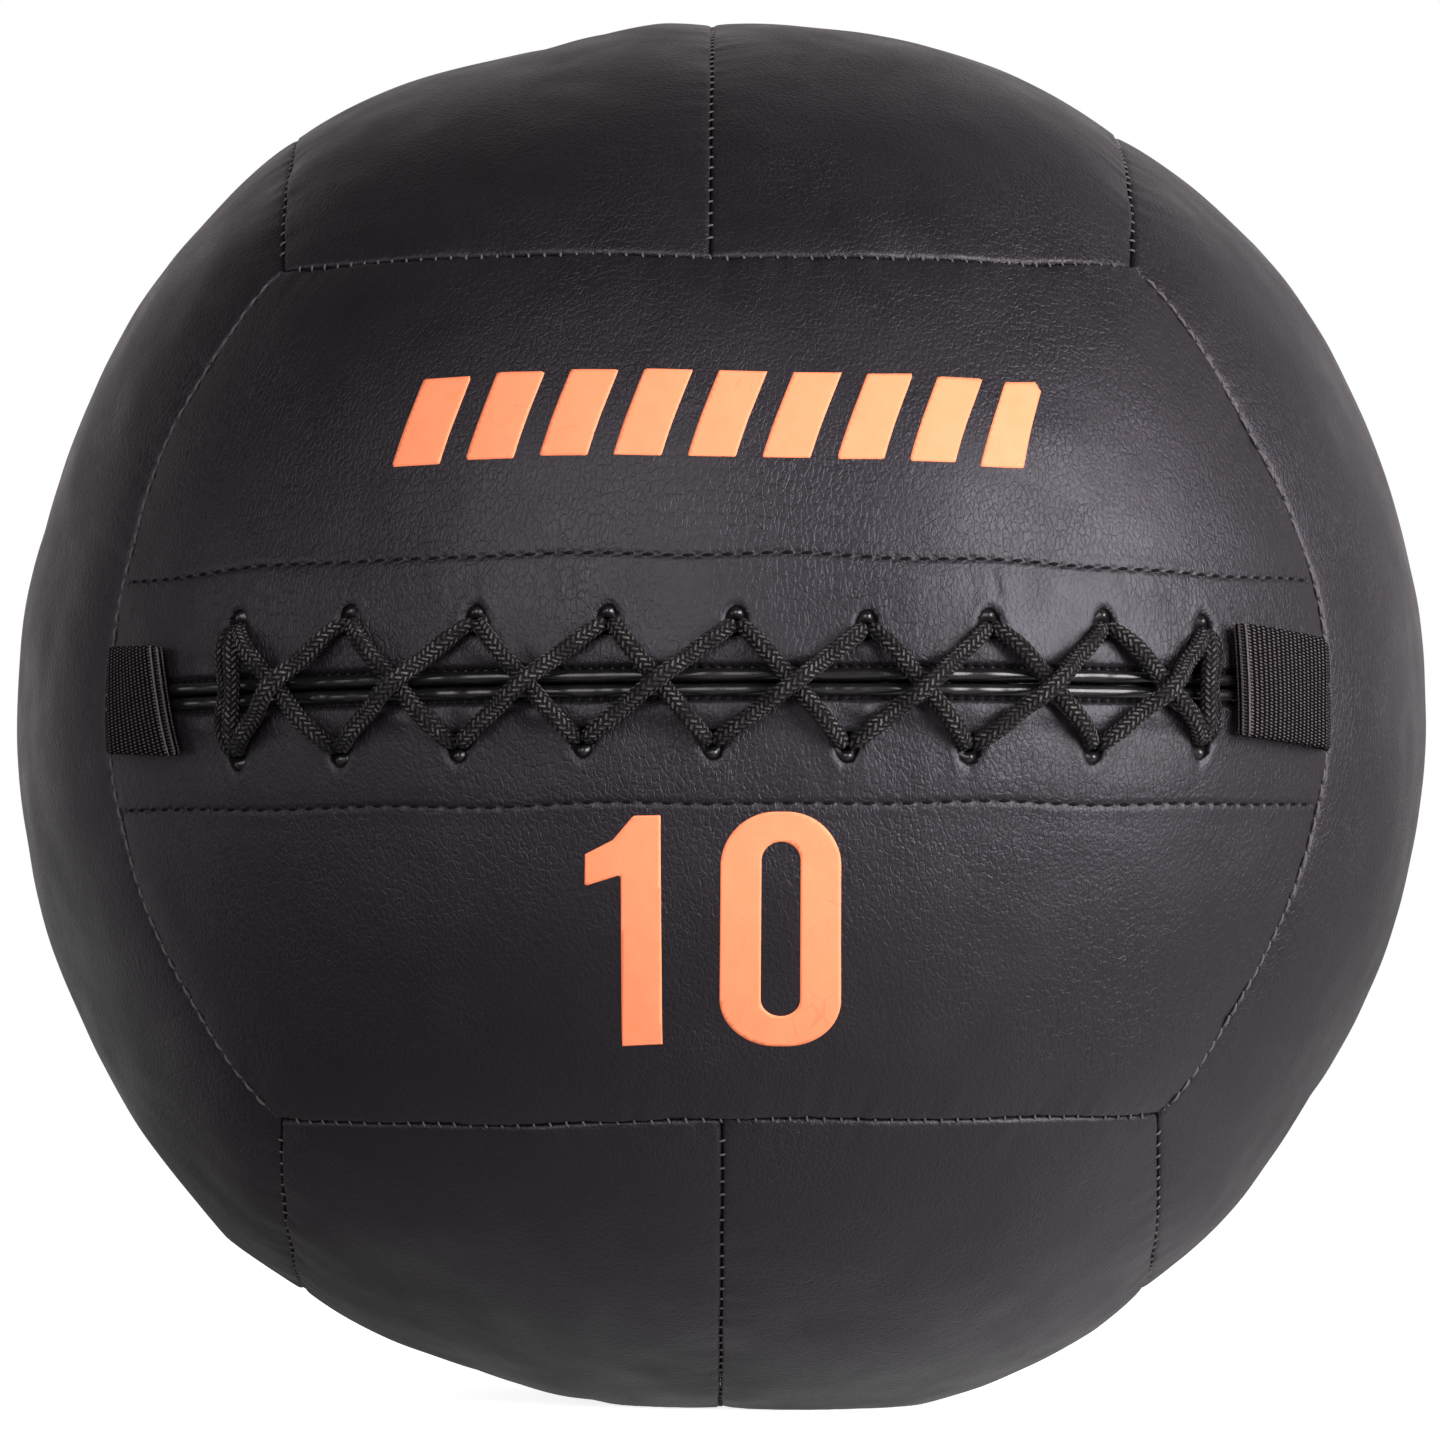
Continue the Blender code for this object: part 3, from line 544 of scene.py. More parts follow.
@dataclass(frozen=True)
class GrainedVinyl(Finish):
    """Coated vinyl with a fine pebbled grain and short wrinkles."""

    name: str = "grained_vinyl"
    slot: str = "skin"
    colour: Colour = (0.0042, 0.0034, 0.0040)
    worn_colour: Colour = (0.0085, 0.0070, 0.0082)
    tint: Colour = (0.92, 0.872, 1.0)
    grain_size: float = 0.0009
    grain_depth: float = 0.00010
    crackle_size: float = 0.0014
    crackle_depth: float = 0.00015
    roughness: Pair = (0.41, 0.53)

    def build(self, tree: MaterialTree) -> bpy.types.Material:
        """Fine grain over a crackle of short cracks, with a little uneven gloss."""
        where = tree.surface_place()
        stretched = tree.add("Mapping", None, Vector=where, Scale=(1.0, 1.0, 0.5)).outputs[0]
        swirl = tree.add("TexNoise", None, Vector=where, Scale=300.0, Detail=3.0).outputs["Color"]
        bent = tree.add(
            "VectorMath", {"operation": "MULTIPLY_ADD"}, in0=swirl, in1=(0.002,) * 3, in2=stretched
        ).outputs[0]
        crackle = tree.cells(bent, 1 / self.crackle_size, "DISTANCE_TO_EDGE")
        crackle = tree.ranged(crackle, 0.0, 0.14, 0.0, 1.0)
        amount = tree.ranged(tree.noise(where, 24.0, 3.0), 0.38, 0.66, 0.3, 1.0)
        crackle = tree.times(crackle, amount)
        pebbles = tree.cells(where, 1 / self.grain_size, "SMOOTH_F1", Smoothness=0.4)
        fibre = tree.noise(where, 0.6 / self.grain_size, 4.0)
        normal = tree.raised(crackle, self.crackle_depth, 0.8)
        normal = tree.raised(fibre, self.grain_depth * 1.5, 0.9, normal)
        normal = tree.raised(pebbles, self.grain_depth, 0.9, normal)
        cloud = tree.noise(where, 9.0, 4.0)
        low, high = self.roughness
        rough = tree.ranged(tree.noise(where, 60.0, 3.0), 0.3, 0.7, low, high)
        shade = tree.blend(cloud, rgba(self.colour), rgba(self.worn_colour))
        return tree.finish(
            Base_Color=shade,
            Roughness=rough,
            Normal=normal,
            Specular_IOR_Level=0.25,
            Specular_Tint=rgba(self.tint),
            Coat_Weight=0.08,
            Coat_Roughness=0.28,
        )


@dataclass(frozen=True)
class GlossyLining(Finish):
    """Smooth glossy vinyl of the lips and the lining behind the holes."""

    name: str = "glossy_lining"
    slot: str = "lining"
    colour: Colour = (0.0040, 0.0036, 0.0040)
    roughness: Pair = (0.20, 0.34)

    def build(self, tree: MaterialTree) -> bpy.types.Material:
        """Fine creases under a gloss."""
        where = tree.surface_place()
        creases = tree.noise(where, 900.0, 3.0, 0.6)
        low, high = self.roughness
        rough = tree.ranged(tree.noise(where, 140.0, 2.0), 0.3, 0.7, low, high)
        return tree.finish(
            Base_Color=tree.blend(creases, rgba(self.colour), (0.0075, 0.0070, 0.0075, 1)),
            Roughness=rough,
            Normal=tree.raised(creases, 0.00008, 0.7),
            Specular_IOR_Level=0.3,
            Coat_Weight=0.2,
            Coat_Roughness=0.14,
        )


@dataclass(frozen=True)
class BraidedCord(Finish):
    """Round braid: slanted yarns that pass over and under each other, with pale flecks of painted
    sheen on their crests.
    """

    name: str = "braided_cord"
    slot: str = "cord"
    carriers: float = 8.0
    strand_count: float = 44.0
    # Share of a float's bow above which a yarn lies level
    level_bow: float = 0.6
    colour: Colour = (0.0030, 0.0026, 0.0029)
    # Pale colour of the painted sheen on the yarns' crests
    sheen_fleck: Colour = (0.150, 0.132, 0.132)

    def build(self, tree: MaterialTree) -> bpy.types.Material:
        """Two crossing sets of yarns on the cord's own UV map, whose V is in braid steps."""
        turn, step = tree.own_map("braid")
        turn = tree.times(turn, self.carriers)
        rising = tree.math("ADD", turn, step)
        falling = tree.math("SUBTRACT", turn, step)
        first_float = self.four_of(tree, falling, tree.math("FLOOR", rising))
        second_float = self.four_of(tree, rising, tree.math("FLOOR", falling))
        over = tree.math("GREATER_THAN", first_float, 2.0)
        first = self.grain(tree, rising, first_float)
        second = self.grain(tree, falling, second_float)
        yarn = tree.mixed(over, first, second)
        shifted = tree.math("ADD", turn, tree.times(over, step))
        strands = tree.math("SINE", tree.times(shifted, self.strand_count))
        where = tree.surface_place()
        fuzz = tree.noise(where, 2600.0, 3.0)
        patch = tree.noise(where, 260.0, 2.0)
        # Painted sheen: the colour turns pale on the yarns' crests, thinned by noise.
        pale = tree.times(
            tree.ranged(yarn, 0.62, 0.97, 0.0, 1.0),
            tree.ranged(fuzz, 0.40, 0.62, 0.3, 1.0),
            tree.ranged(patch, 0.38, 0.62, 0.15, 1.0),
        )
        normal = tree.raised(tree.math("ADD", yarn, tree.times(strands, 0.10)), 0.0005, 0.9)
        normal = tree.raised(fuzz, 0.0001, 0.5, normal)
        return tree.finish(
            Base_Color=tree.blend(pale, rgba(self.colour), rgba(self.sheen_fleck)),
            Roughness=0.62,
            Normal=normal,
            Specular_IOR_Level=0.16,
        )

    def four_of(self, tree: MaterialTree, place: Any, number: Any) -> Any:
        """A yarn's place from 0 to 4 along its floats of two. It lies on top in one half."""
        sum_up = tree.math("ADD", place, number)
        return tree.math("MODULO", tree.math("ADD", sum_up, 4.0), 4.0)

    def grain(self, tree: MaterialTree, place: Any, along: Any) -> Any:
        """Height of a yarn across and along one float, 0 to 1."""
        across = tree.arch(place)
        bow = tree.math("ABSOLUTE", tree.math("SINE", tree.times(along, math.pi / 2)))
        return tree.times(across, tree.ranged(bow, 0.0, self.level_bow, 0.0, 1.0))


@dataclass(frozen=True)
class Thread(Finish):
    """Twisted sewing thread."""

    name: str = "sewing_thread"
    slot: str = "cord"
    colour: Colour = (0.0020, 0.0018, 0.0020)
    light: Colour = (0.0060, 0.0055, 0.0055)

    def build(self, tree: MaterialTree) -> bpy.types.Material:
        """Fine twist and hardly any sheen."""
        where = tree.surface_place()
        twist = tree.noise(where, 3200.0, 2.0)
        return tree.finish(
            Base_Color=tree.blend(twist, rgba(self.colour), rgba(self.light)),
            Roughness=0.8,
            Normal=tree.raised(twist, 0.0001, 0.8),
            Specular_IOR_Level=0.05,
        )


@dataclass(frozen=True)
class WovenWebbing(Finish):
    """Heavy nylon webbing: rows of slanted weave dots, with a band of painted shade along the fold.
    """

    name: str = "woven_webbing"
    slot: str = "webbing"
    # Per strap width, along it and across it
    columns: float = 25.0 / 1.6
    rows: float = 34.0
    slant: float = 0.35
    # The band of painted shade at the rounded fold and its two pale lines, in strap widths
    fold_shade_width: float = 0.085
    line_places: Pair = (0.020, 0.072)
    colour: Colour = (0.0020, 0.0018, 0.0019)
    dot: Colour = (0.108, 0.094, 0.097)

    def build(self, tree: MaterialTree) -> bpy.types.Material:
        """Staggered dots on the strap's UV map, both in strap widths."""
        side, from_fold = tree.own_map("weave")
        run = tree.times(from_fold, self.columns)
        every_other = tree.math("PINGPONG", tree.math("FLOOR", run), 1.0)
        shifted = tree.math("ADD", tree.times(side, self.rows), tree.times(every_other, 0.5))
        slanted = tree.math("ADD", shifted, tree.times(tree.math("FRACT", run), self.slant))
        dots = tree.times(tree.arch(slanted), tree.arch(run))
        where = tree.surface_place()
        fibre = tree.noise(where, 3000.0, 2.0)
        from_fold = tree.math("ABSOLUTE", from_fold)
        # Painted shade: the weave's dots are dimmed in a band along the rounded fold.
        in_fold_shade = tree.math("LESS_THAN", from_fold, self.fold_shade_width)
        pale = tree.times(
            tree.ranged(dots, 0.52, 0.88, 0.0, 1.0),
            tree.ranged(fibre, 0.35, 0.65, 0.3, 1.0),
            tree.ranged(in_fold_shade, 0.0, 1.0, 1.0, 0.35),
        )
        lines = [tree.math("COMPARE", from_fold, place, 0.008) for place in self.line_places]
        lines = tree.times(tree.math("MAXIMUM", *lines), tree.ranged(fibre, 0.3, 0.7, 0.4, 1.0))
        pale = tree.math("MAXIMUM", pale, lines)
        return tree.finish(
            Base_Color=tree.blend(pale, rgba(self.colour), rgba(self.dot)),
            Roughness=0.85,
            Normal=tree.raised(dots, 0.0004, 0.9),
            Specular_IOR_Level=0.03,
        )


@dataclass(frozen=True)
class PrintFilm(Finish):
    """Orange print that follows the grain and has fine cracks."""

    name: str = "orange_print"
    slot: str = "skin"
    colour: Colour = (0.75, 0.184, 0.075)
    pale: Colour = (0.81, 0.222, 0.104)
    crack: Colour = (0.30, 0.075, 0.035)

    def build(self, tree: MaterialTree) -> bpy.types.Material:
        """Uneven ink over the grain."""
        where = tree.surface_place()
        bent = tree.noise(where, 150.0, 4.0)
        cells = tree.cells(where, 150.0, "DISTANCE_TO_EDGE")
        cells = tree.math("ADD", cells, tree.times(bent, 0.16))
        line = tree.ranged(cells, 0.075, 0.095, 1.0, 0.0)
        where_worn = tree.ranged(tree.noise(where, 60.0, 2.0), 0.5, 0.62, 0.0, 0.25)
        cracks = tree.times(line, where_worn)
        ink = tree.blend(tree.noise(where, 240.0, 4.0), rgba(self.colour), rgba(self.pale))
        grain = tree.noise(where, 900.0, 4.0)
        return tree.finish(
            Base_Color=tree.blend(cracks, ink, rgba(self.crack)),
            Roughness=0.65,
            Specular_IOR_Level=0.3,
            Normal=tree.raised(grain, 0.00007, 0.7),
        )


@dataclass(frozen=True)
class LooseStuff(Finish):
    """Fibre, foam, canvas or granules inside the ball."""

    name: str = "foam"
    slot: str = "foam"
    colour: Colour = (0.28, 0.28, 0.29)
    dark: Colour = (0.16, 0.16, 0.17)
    cell_size: float = 0.0012
    depth: float = 0.0004
    woven: bool = False

    def build(self, tree: MaterialTree) -> bpy.types.Material:
        """Cells or crossed threads with uneven colour."""
        where = tree.surface_place()
        if self.woven:
            scale = 0.3 / self.cell_size
            waves = [
                tree.add("TexWave", {"bands_direction": way}, Vector=where, Scale=scale)
                for way in "XZ"
            ]
            relief = tree.times(*(wave.outputs["Fac"] for wave in waves))
        else:
            relief = tree.cells(where, 1 / self.cell_size)
        cloud = tree.noise(where, 0.12 / self.cell_size, 5.0)
        return tree.finish(
            Base_Color=tree.blend(cloud, rgba(self.colour), rgba(self.dark)),
            Roughness=0.93,
            Normal=tree.raised(relief, self.depth),
        )


VINYL = GrainedVinyl()
LINING = GlossyLining()
CORD = BraidedCord()
THREAD = Thread()
SEAM_THREAD = Thread("seam_thread", "cord", (0.028, 0.024, 0.026), (0.120, 0.108, 0.113))
WEBBING = WovenWebbing()
PRINT = PrintFilm()
FOAM = LooseStuff()
TEXTILE = LooseStuff(
    "textile_filling", "filling", (0.42, 0.40, 0.37), (0.22, 0.22, 0.24), 0.004, 0.0012
)
CANVAS = LooseStuff(
    "canvas", "canvas", (0.37, 0.33, 0.26), (0.27, 0.24, 0.19), 0.0008, 0.0003, woven=True
)
GRANULES = LooseStuff(
    "granules", "ballast", (0.27, 0.24, 0.21), (0.14, 0.13, 0.12), 0.0028, 0.0009
)


def mesh_piece(
    name: str, points: Array, faces: list[list[int]], finishes: list[Finish]
) -> bpy.types.Object:
    """Adds a smooth mesh object whose place is in its mesh.

    Args:
        name: The piece's name.
        points: Points of shape (n, 3) in the row frame.
        faces: Corner numbers of each face, facing outwards.
        finishes: Its finishes, in slot order.

    Returns:
        The object.
    """
    data = bpy.data.meshes.new(name)
    data.from_pydata(points.tolist(), [], faces)
    data.shade_smooth()
    for finish in finishes:
        data.materials.append(finish.material())
    piece = bpy.data.objects.new(name, data)
    bpy.context.scene.collection.objects.link(piece)
    return piece


def set_uv(piece: bpy.types.Object, name: str, corners: Array) -> None:
    """Gives a mesh a UV map from one place per face corner."""
    layer = piece.data.uv_layers.new(name=name)
    layer.data.foreach_set("uv", corners.astype(np.float32).ravel())


def settle(piece: bpy.types.Object, body: str, finish: Finish, *nodes: str) -> None:
    """Fixes a finished piece to a body and hides the nodes it stands for."""
    if nodes:
        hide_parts(*nodes)
    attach(piece, body)
    log.info("%s: %d faces", piece.name, len(piece.data.polygons))


@dataclass(frozen=True)
class Oval:
    """A punched oval, as distances on the skin."""

    along: float
    across: float
    half_width: float
    half_height: float
    taper: float = 0.0

    def share(self, along: Array, across: Array) -> Array:
        """How far out places lie: 1 on the oval's edge, which narrows away from the slit."""
        up = (across - self.across) / self.half_height
        aside = (along - self.along) / (self.half_width * (1 - self.taper * np.clip(up, 0, 1.3)))
        return np.hypot(aside, up)


@dataclass
class Patch:
    """A grid of skin with punched holes and turned-in edges.

    It starts from longitudes of shape (rows, columns) and one latitude for each row.
    """

    longitude: Array
    latitude: Array
    radius: float
    holes: tuple[Oval, ...] = ()

    def __post_init__(self) -> None:
        """Numbers the grid's corners and opens its holes."""
        number = np.arange(self.longitude.size).reshape(self.longitude.shape)
        self.latitude = np.repeat(self.latitude, self.longitude.shape[1])
        self.longitude = self.longitude.ravel()
        self.quads = grid_quads(number)
        self.depth = np.zeros(number.size)
        self.first_row = number[0]
        self.hole_of = np.full(number.size, -1)
        for index, hole in enumerate(self.holes):
            self.open_hole(index, hole)
        self.drop_unused()

    def open_hole(self, index: int, hole: Oval) -> None:
        """Takes out the faces inside an oval, and draws the next corners onto its edge.

        Args:
            index: The oval's number.
            hole: The oval.
        """
        along, across = self.longitude * self.radius, self.latitude * self.radius
        share = hole.share(along, across)
        inside = share < 1
        self.quads = self.quads[~inside[self.quads].all(axis=1)]
        edge = np.intersect1d(np.flatnonzero(inside), self.quads)
        pull = 1 / share[edge]
        self.longitude[edge] = (hole.along + (along[edge] - hole.along) * pull) / self.radius
        self.latitude[edge] = (hole.across + (across[edge] - hole.across) * pull) / self.radius
        self.hole_of[edge] = index

    def drop_unused(self) -> None:
        """Leaves out the corners that no face uses."""
        used = np.unique(self.quads)
        fresh = np.full(len(self.longitude), -1)
        fresh[used] = np.arange(len(used))
        self.quads = fresh[self.quads]
        self.on_first_row = np.isin(used, self.first_row)
        self.longitude, self.latitude = self.longitude[used], self.latitude[used]
        self.depth, self.hole_of = self.depth[used], self.hole_of[used]

    def turn_in(self, rings: list[Four]) -> None:
        """Adds walls down from all open edges.

        Args:
            rings: For each wall in turn, its depth at the seams, at the first row and at the
                holes, and the share of a hole's size that is left there.
        """
        edges = open_edges(self.quads)
        base = np.unique(edges)
        sources = base
        for seam_depth, row_depth, hole_depth, hole_share in rings:
            count = len(self.longitude)
            fresh = np.full(count, -1)
            fresh[sources] = count + np.arange(len(sources))
            longitude, latitude = self.longitude[base].copy(), self.latitude[base].copy()
            depth = np.where(self.on_first_row[base], row_depth, seam_depth)
            for index, hole in enumerate(self.holes):
                mine = self.hole_of[base] == index
                aside, up = hole.along / self.radius, hole.across / self.radius
                longitude[mine] = aside + (longitude[mine] - aside) * hole_share
                latitude[mine] = up + (latitude[mine] - up) * hole_share
                depth[mine] = hole_depth
            self.quads = np.concatenate([self.quads, walls_under(edges, fresh)])
            self.longitude = np.concatenate([self.longitude, longitude])
            self.latitude = np.concatenate([self.latitude, latitude])
            self.depth = np.concatenate([self.depth, depth])
            sources, edges = fresh[sources], fresh[edges]


@dataclass
class SkinPanel:
    """One padded vinyl panel: its field, its rolled edges and the allowance at its seams."""

    place: PanelPlace
    ball: BallForm
    half_gap: float = 0.00008
    roll_radius: float = 0.0012
    seam_pull: float = 0.00045
    seam_pull_reach: float = 0.0055
    pucker_depth: float = 0.00009
    pucker_length: float = 0.0075
    pucker_reach: float = 0.0055
    pucker_slant: float = 0.25
    pull_length: float = 0.03
    pull_unevenness: float = 0.4
    # How far the stitches' dents reach, in roll radii
    stitch_reach: float = 1.3
    # Sets the puckers of the two side seams apart
    side_shift: float = 3.0
    stitch_pitch: float = 0.0040
    stitch_depth: float = 0.00022
    fine_cell: float = 0.0003
    coarse_cell: float = 0.0016
    allowance: float = 0.007

    @property
    def name(self) -> str:
        """The piece's name."""
        return f"{self.place.name}_skin"

    def rows(self) -> Array:
        """Latitudes of the grid's rows, as distances from the middle plane."""
        length = self.ball.radius * SEAM_LATITUDE - 2 * self.half_gap
        return self.half_gap + graded(length, self.fine_cell, self.coarse_cell)

    def columns(self) -> Array:
        """Shares of the way along, from -1 to 1."""
        length = 2 * self.ball.radius * SIDE_SEAM_ANGLE
        return 2 * graded(length, self.fine_cell * 1.3, self.coarse_cell) / length - 1

    def patch(self) -> Patch:
        """The panel's grid."""
        latitude = self.rows() / self.ball.radius
        kept = SEAM_SHARE + self.half_gap / self.ball.radius
        reach = np.arccos(np.minimum(1, kept / np.cos(latitude)))
        longitude = reach[:, None] * self.columns()[None, :]
        return Patch(longitude, latitude, self.ball.radius, self.holes())

    def holes(self) -> tuple[Oval, ...]:
        """The punched holes. A plain panel has none."""
        return ()

    def gathered(self, away: Array, along: Array, seed: int) -> Array:
        """Relief beside a seam.

        Args:
            away: Distance from the seam.
            along: Distance along it.
            seed: Number that fixes its puckers.

        Returns:
            Height over the panel's field, mostly negative.
        """
        away = np.maximum(away, 0)
        inside = np.clip(self.roll_radius - away, 0, self.roll_radius)
        drop = self.roll_radius - np.sqrt(self.roll_radius**2 - inside**2)
        uneven = self.pull_unevenness * Ripple(self.pull_length, seed, 1).along(along)
        pull = self.seam_pull * (1 + uneven)
        height = -drop - pull * np.exp(-away / self.seam_pull_reach)
        bent = along + self.pucker_slant * away
        puckers = Ripple(self.pucker_length, seed + 1, 1).along(bent)
        height += self.pucker_depth * puckers * np.exp(-away / self.pucker_reach)
        beat = 0.5 + 0.5 * np.cos(2 * math.pi * along / self.stitch_pitch)
        reach = self.stitch_reach * self.roll_radius
        return height - self.stitch_depth * beat * np.exp(-away / reach)

    def relief(self, longitude: Array, latitude: Array) -> Array:
        """Height over the ball's form: both outer seams' relief, and the middle's.

        Args:
            longitude: Longitude on the panel.
            latitude: Latitude on the panel.

        Returns:
            The height at each place.
        """
        radius = self.ball.radius
        ways = directions(longitude, latitude)
        front = np.arccos(np.clip(-ways[:, 1], -1, 1))
        seed = self.place.seed
        height = self.gathered(
            radius * (SEAM_LATITUDE - latitude), radius * RIM_SHARE * longitude, seed
        )
        turn = np.arctan2(ways[:, 2], np.abs(ways[:, 0])) 
        turn = turn + np.sign(ways[:, 0]) * self.side_shift
        height += self.gathered(
            radius * (SIDE_SEAM_ANGLE - front), radius * RIM_SHARE * turn, seed + 2
        )
        return height + self.middle_relief(radius * longitude, radius * latitude)

    def middle_relief(self, along: Array, across: Array) -> Array:
        """Relief beside the edge in the middle of the face."""
        return self.gathered(across, along, 400 + self.place.value[0])

    def rings(self) -> list[Four]:
        """The walls turned in at the panel's edges."""
        turned = [0.25 * self.allowance, self.allowance]
        return [(depth, depth, depth, 1.0) for depth in turned]

    def finishes(self) -> list[Finish]:
        """The panel's finishes."""
        return [VINYL]

    def build(self) -> bpy.types.Object:
        """Makes the panel and fixes it to the ball.

        Returns:
            The piece.
        """
        patch = self.patch()
        patch.turn_in(self.rings())
        height = self.relief(patch.longitude, patch.latitude) - patch.depth
        points = self.ball.placed(self.place, patch.longitude, patch.latitude, height)
        piece = mesh_piece(self.name, points, patch.quads.tolist(), self.finishes())
        self.dress(piece, patch)
        settle(piece, "ball", VINYL, f"{self.place.name}_panel")
        return piece

    def dress(self, piece: bpy.types.Object, patch: Patch) -> None:
        """Gives the piece's faces their finishes. A plain panel has one."""


@dataclass(frozen=True)
class LacingPlan:
    """Where the holes, the strands and the rows of sewing lie on the front face."""

    columns: int = 9
    column_pitch: float = 0.0305866
    strand_reach: float = 0.0133
    strand_pitch: float = 0.003152
    strand_radius: float = 0.001276
    hole_across: float = 0.01480
    hole_half_height: float = 0.0037
    hole_taper: float = 0.15
    end_pitch_share: float = 0.48
    slit_half: float = 0.0002
    lip_width: float = 0.0031
    lip_stitch_at: float = 0.0039
    lip_stitch_pitch: float = 0.0025
    topstitch_pitch: float = 0.0047
    upper_topstitch_at: float = 0.0301
    lower_topstitch_at: float = 0.0278
    topstitch_wander: float = 0.00025
    topstitch_sag: float = 0.0013
    topstitch_half: float = 0.16
    right_sag: float = 0.0024
    right_sagging: Ramp = Ramp(0.0, 0.13)
    # How far each hole strays along the slit from its even place, from left to right
    upper_strays: tuple[float, ...] = (
        0.0009, 0.0019, 0.0036, 0.0044, 0.0039, 0.0039, 0.0029, 0.0020, 0.0004,
    )
    lower_strays: tuple[float, ...] = (
        0.0012, -0.0003, -0.0005, -0.0011, -0.0014, -0.0007, -0.0020, -0.0006, -0.0003,
    )
    # How far each hole strays away from the slit
    upper_rises: tuple[float, ...] = (
        0.0014, 0.0014, 0.0005, 0.0002, -0.0004, -0.0014, -0.0010, -0.0006, -0.0012,
    )
    lower_rises: tuple[float, ...] = (
        -0.0002, -0.0003, -0.0006, -0.0012, -0.0004, 0.0004, 0.0006, 0.0002, -0.0014,
    )

    def strands_in(self, column: int) -> int:
        """How many strands pass through each hole of a column."""
        return 3 if column in (0, self.columns - 1) else 2

    def pitch_in(self, column: int) -> float:
        """Distance between the strands in a hole, which are squeezed at the row's ends."""
        share = self.end_pitch_share if column in (0, self.columns - 1) else 1.0
        return self.strand_pitch * share

    def hole_along(self, column: int, side: int) -> float:
        """Distance of a hole from the middle of the slit."""
        strays = self.upper_strays if side > 0 else self.lower_strays
        return (column - (self.columns - 1) / 2) * self.column_pitch + strays[column]

    def hole_rise(self, column: int, side: int) -> float:
        """How far a hole strays away from the slit."""
        return (self.upper_rises if side > 0 else self.lower_rises)[column]

    def strand_at(self, column: int, side: int, slot: float) -> Pair:
        """Where a strand passes a hole. Slots count from its middle towards +X."""
        across = side * (self.strand_reach + self.hole_rise(column, side))
        return self.hole_along(column, side) + slot * self.pitch_in(column), across

    def ovals(self, side: int) -> tuple[Oval, ...]:
        """The punched holes on one side, as their panel has them: a lower one is turned round."""
        found = []
        for column in range(self.columns):
            outer = self.pitch_in(column) * (self.strands_in(column) - 1) / 2
            along = side * self.hole_along(column, side)
            across = self.hole_across + self.hole_rise(column, side)
            width = outer + self.strand_radius
            found.append(Oval(along, across, width, self.hole_half_height, self.hole_taper))
        return tuple(found)


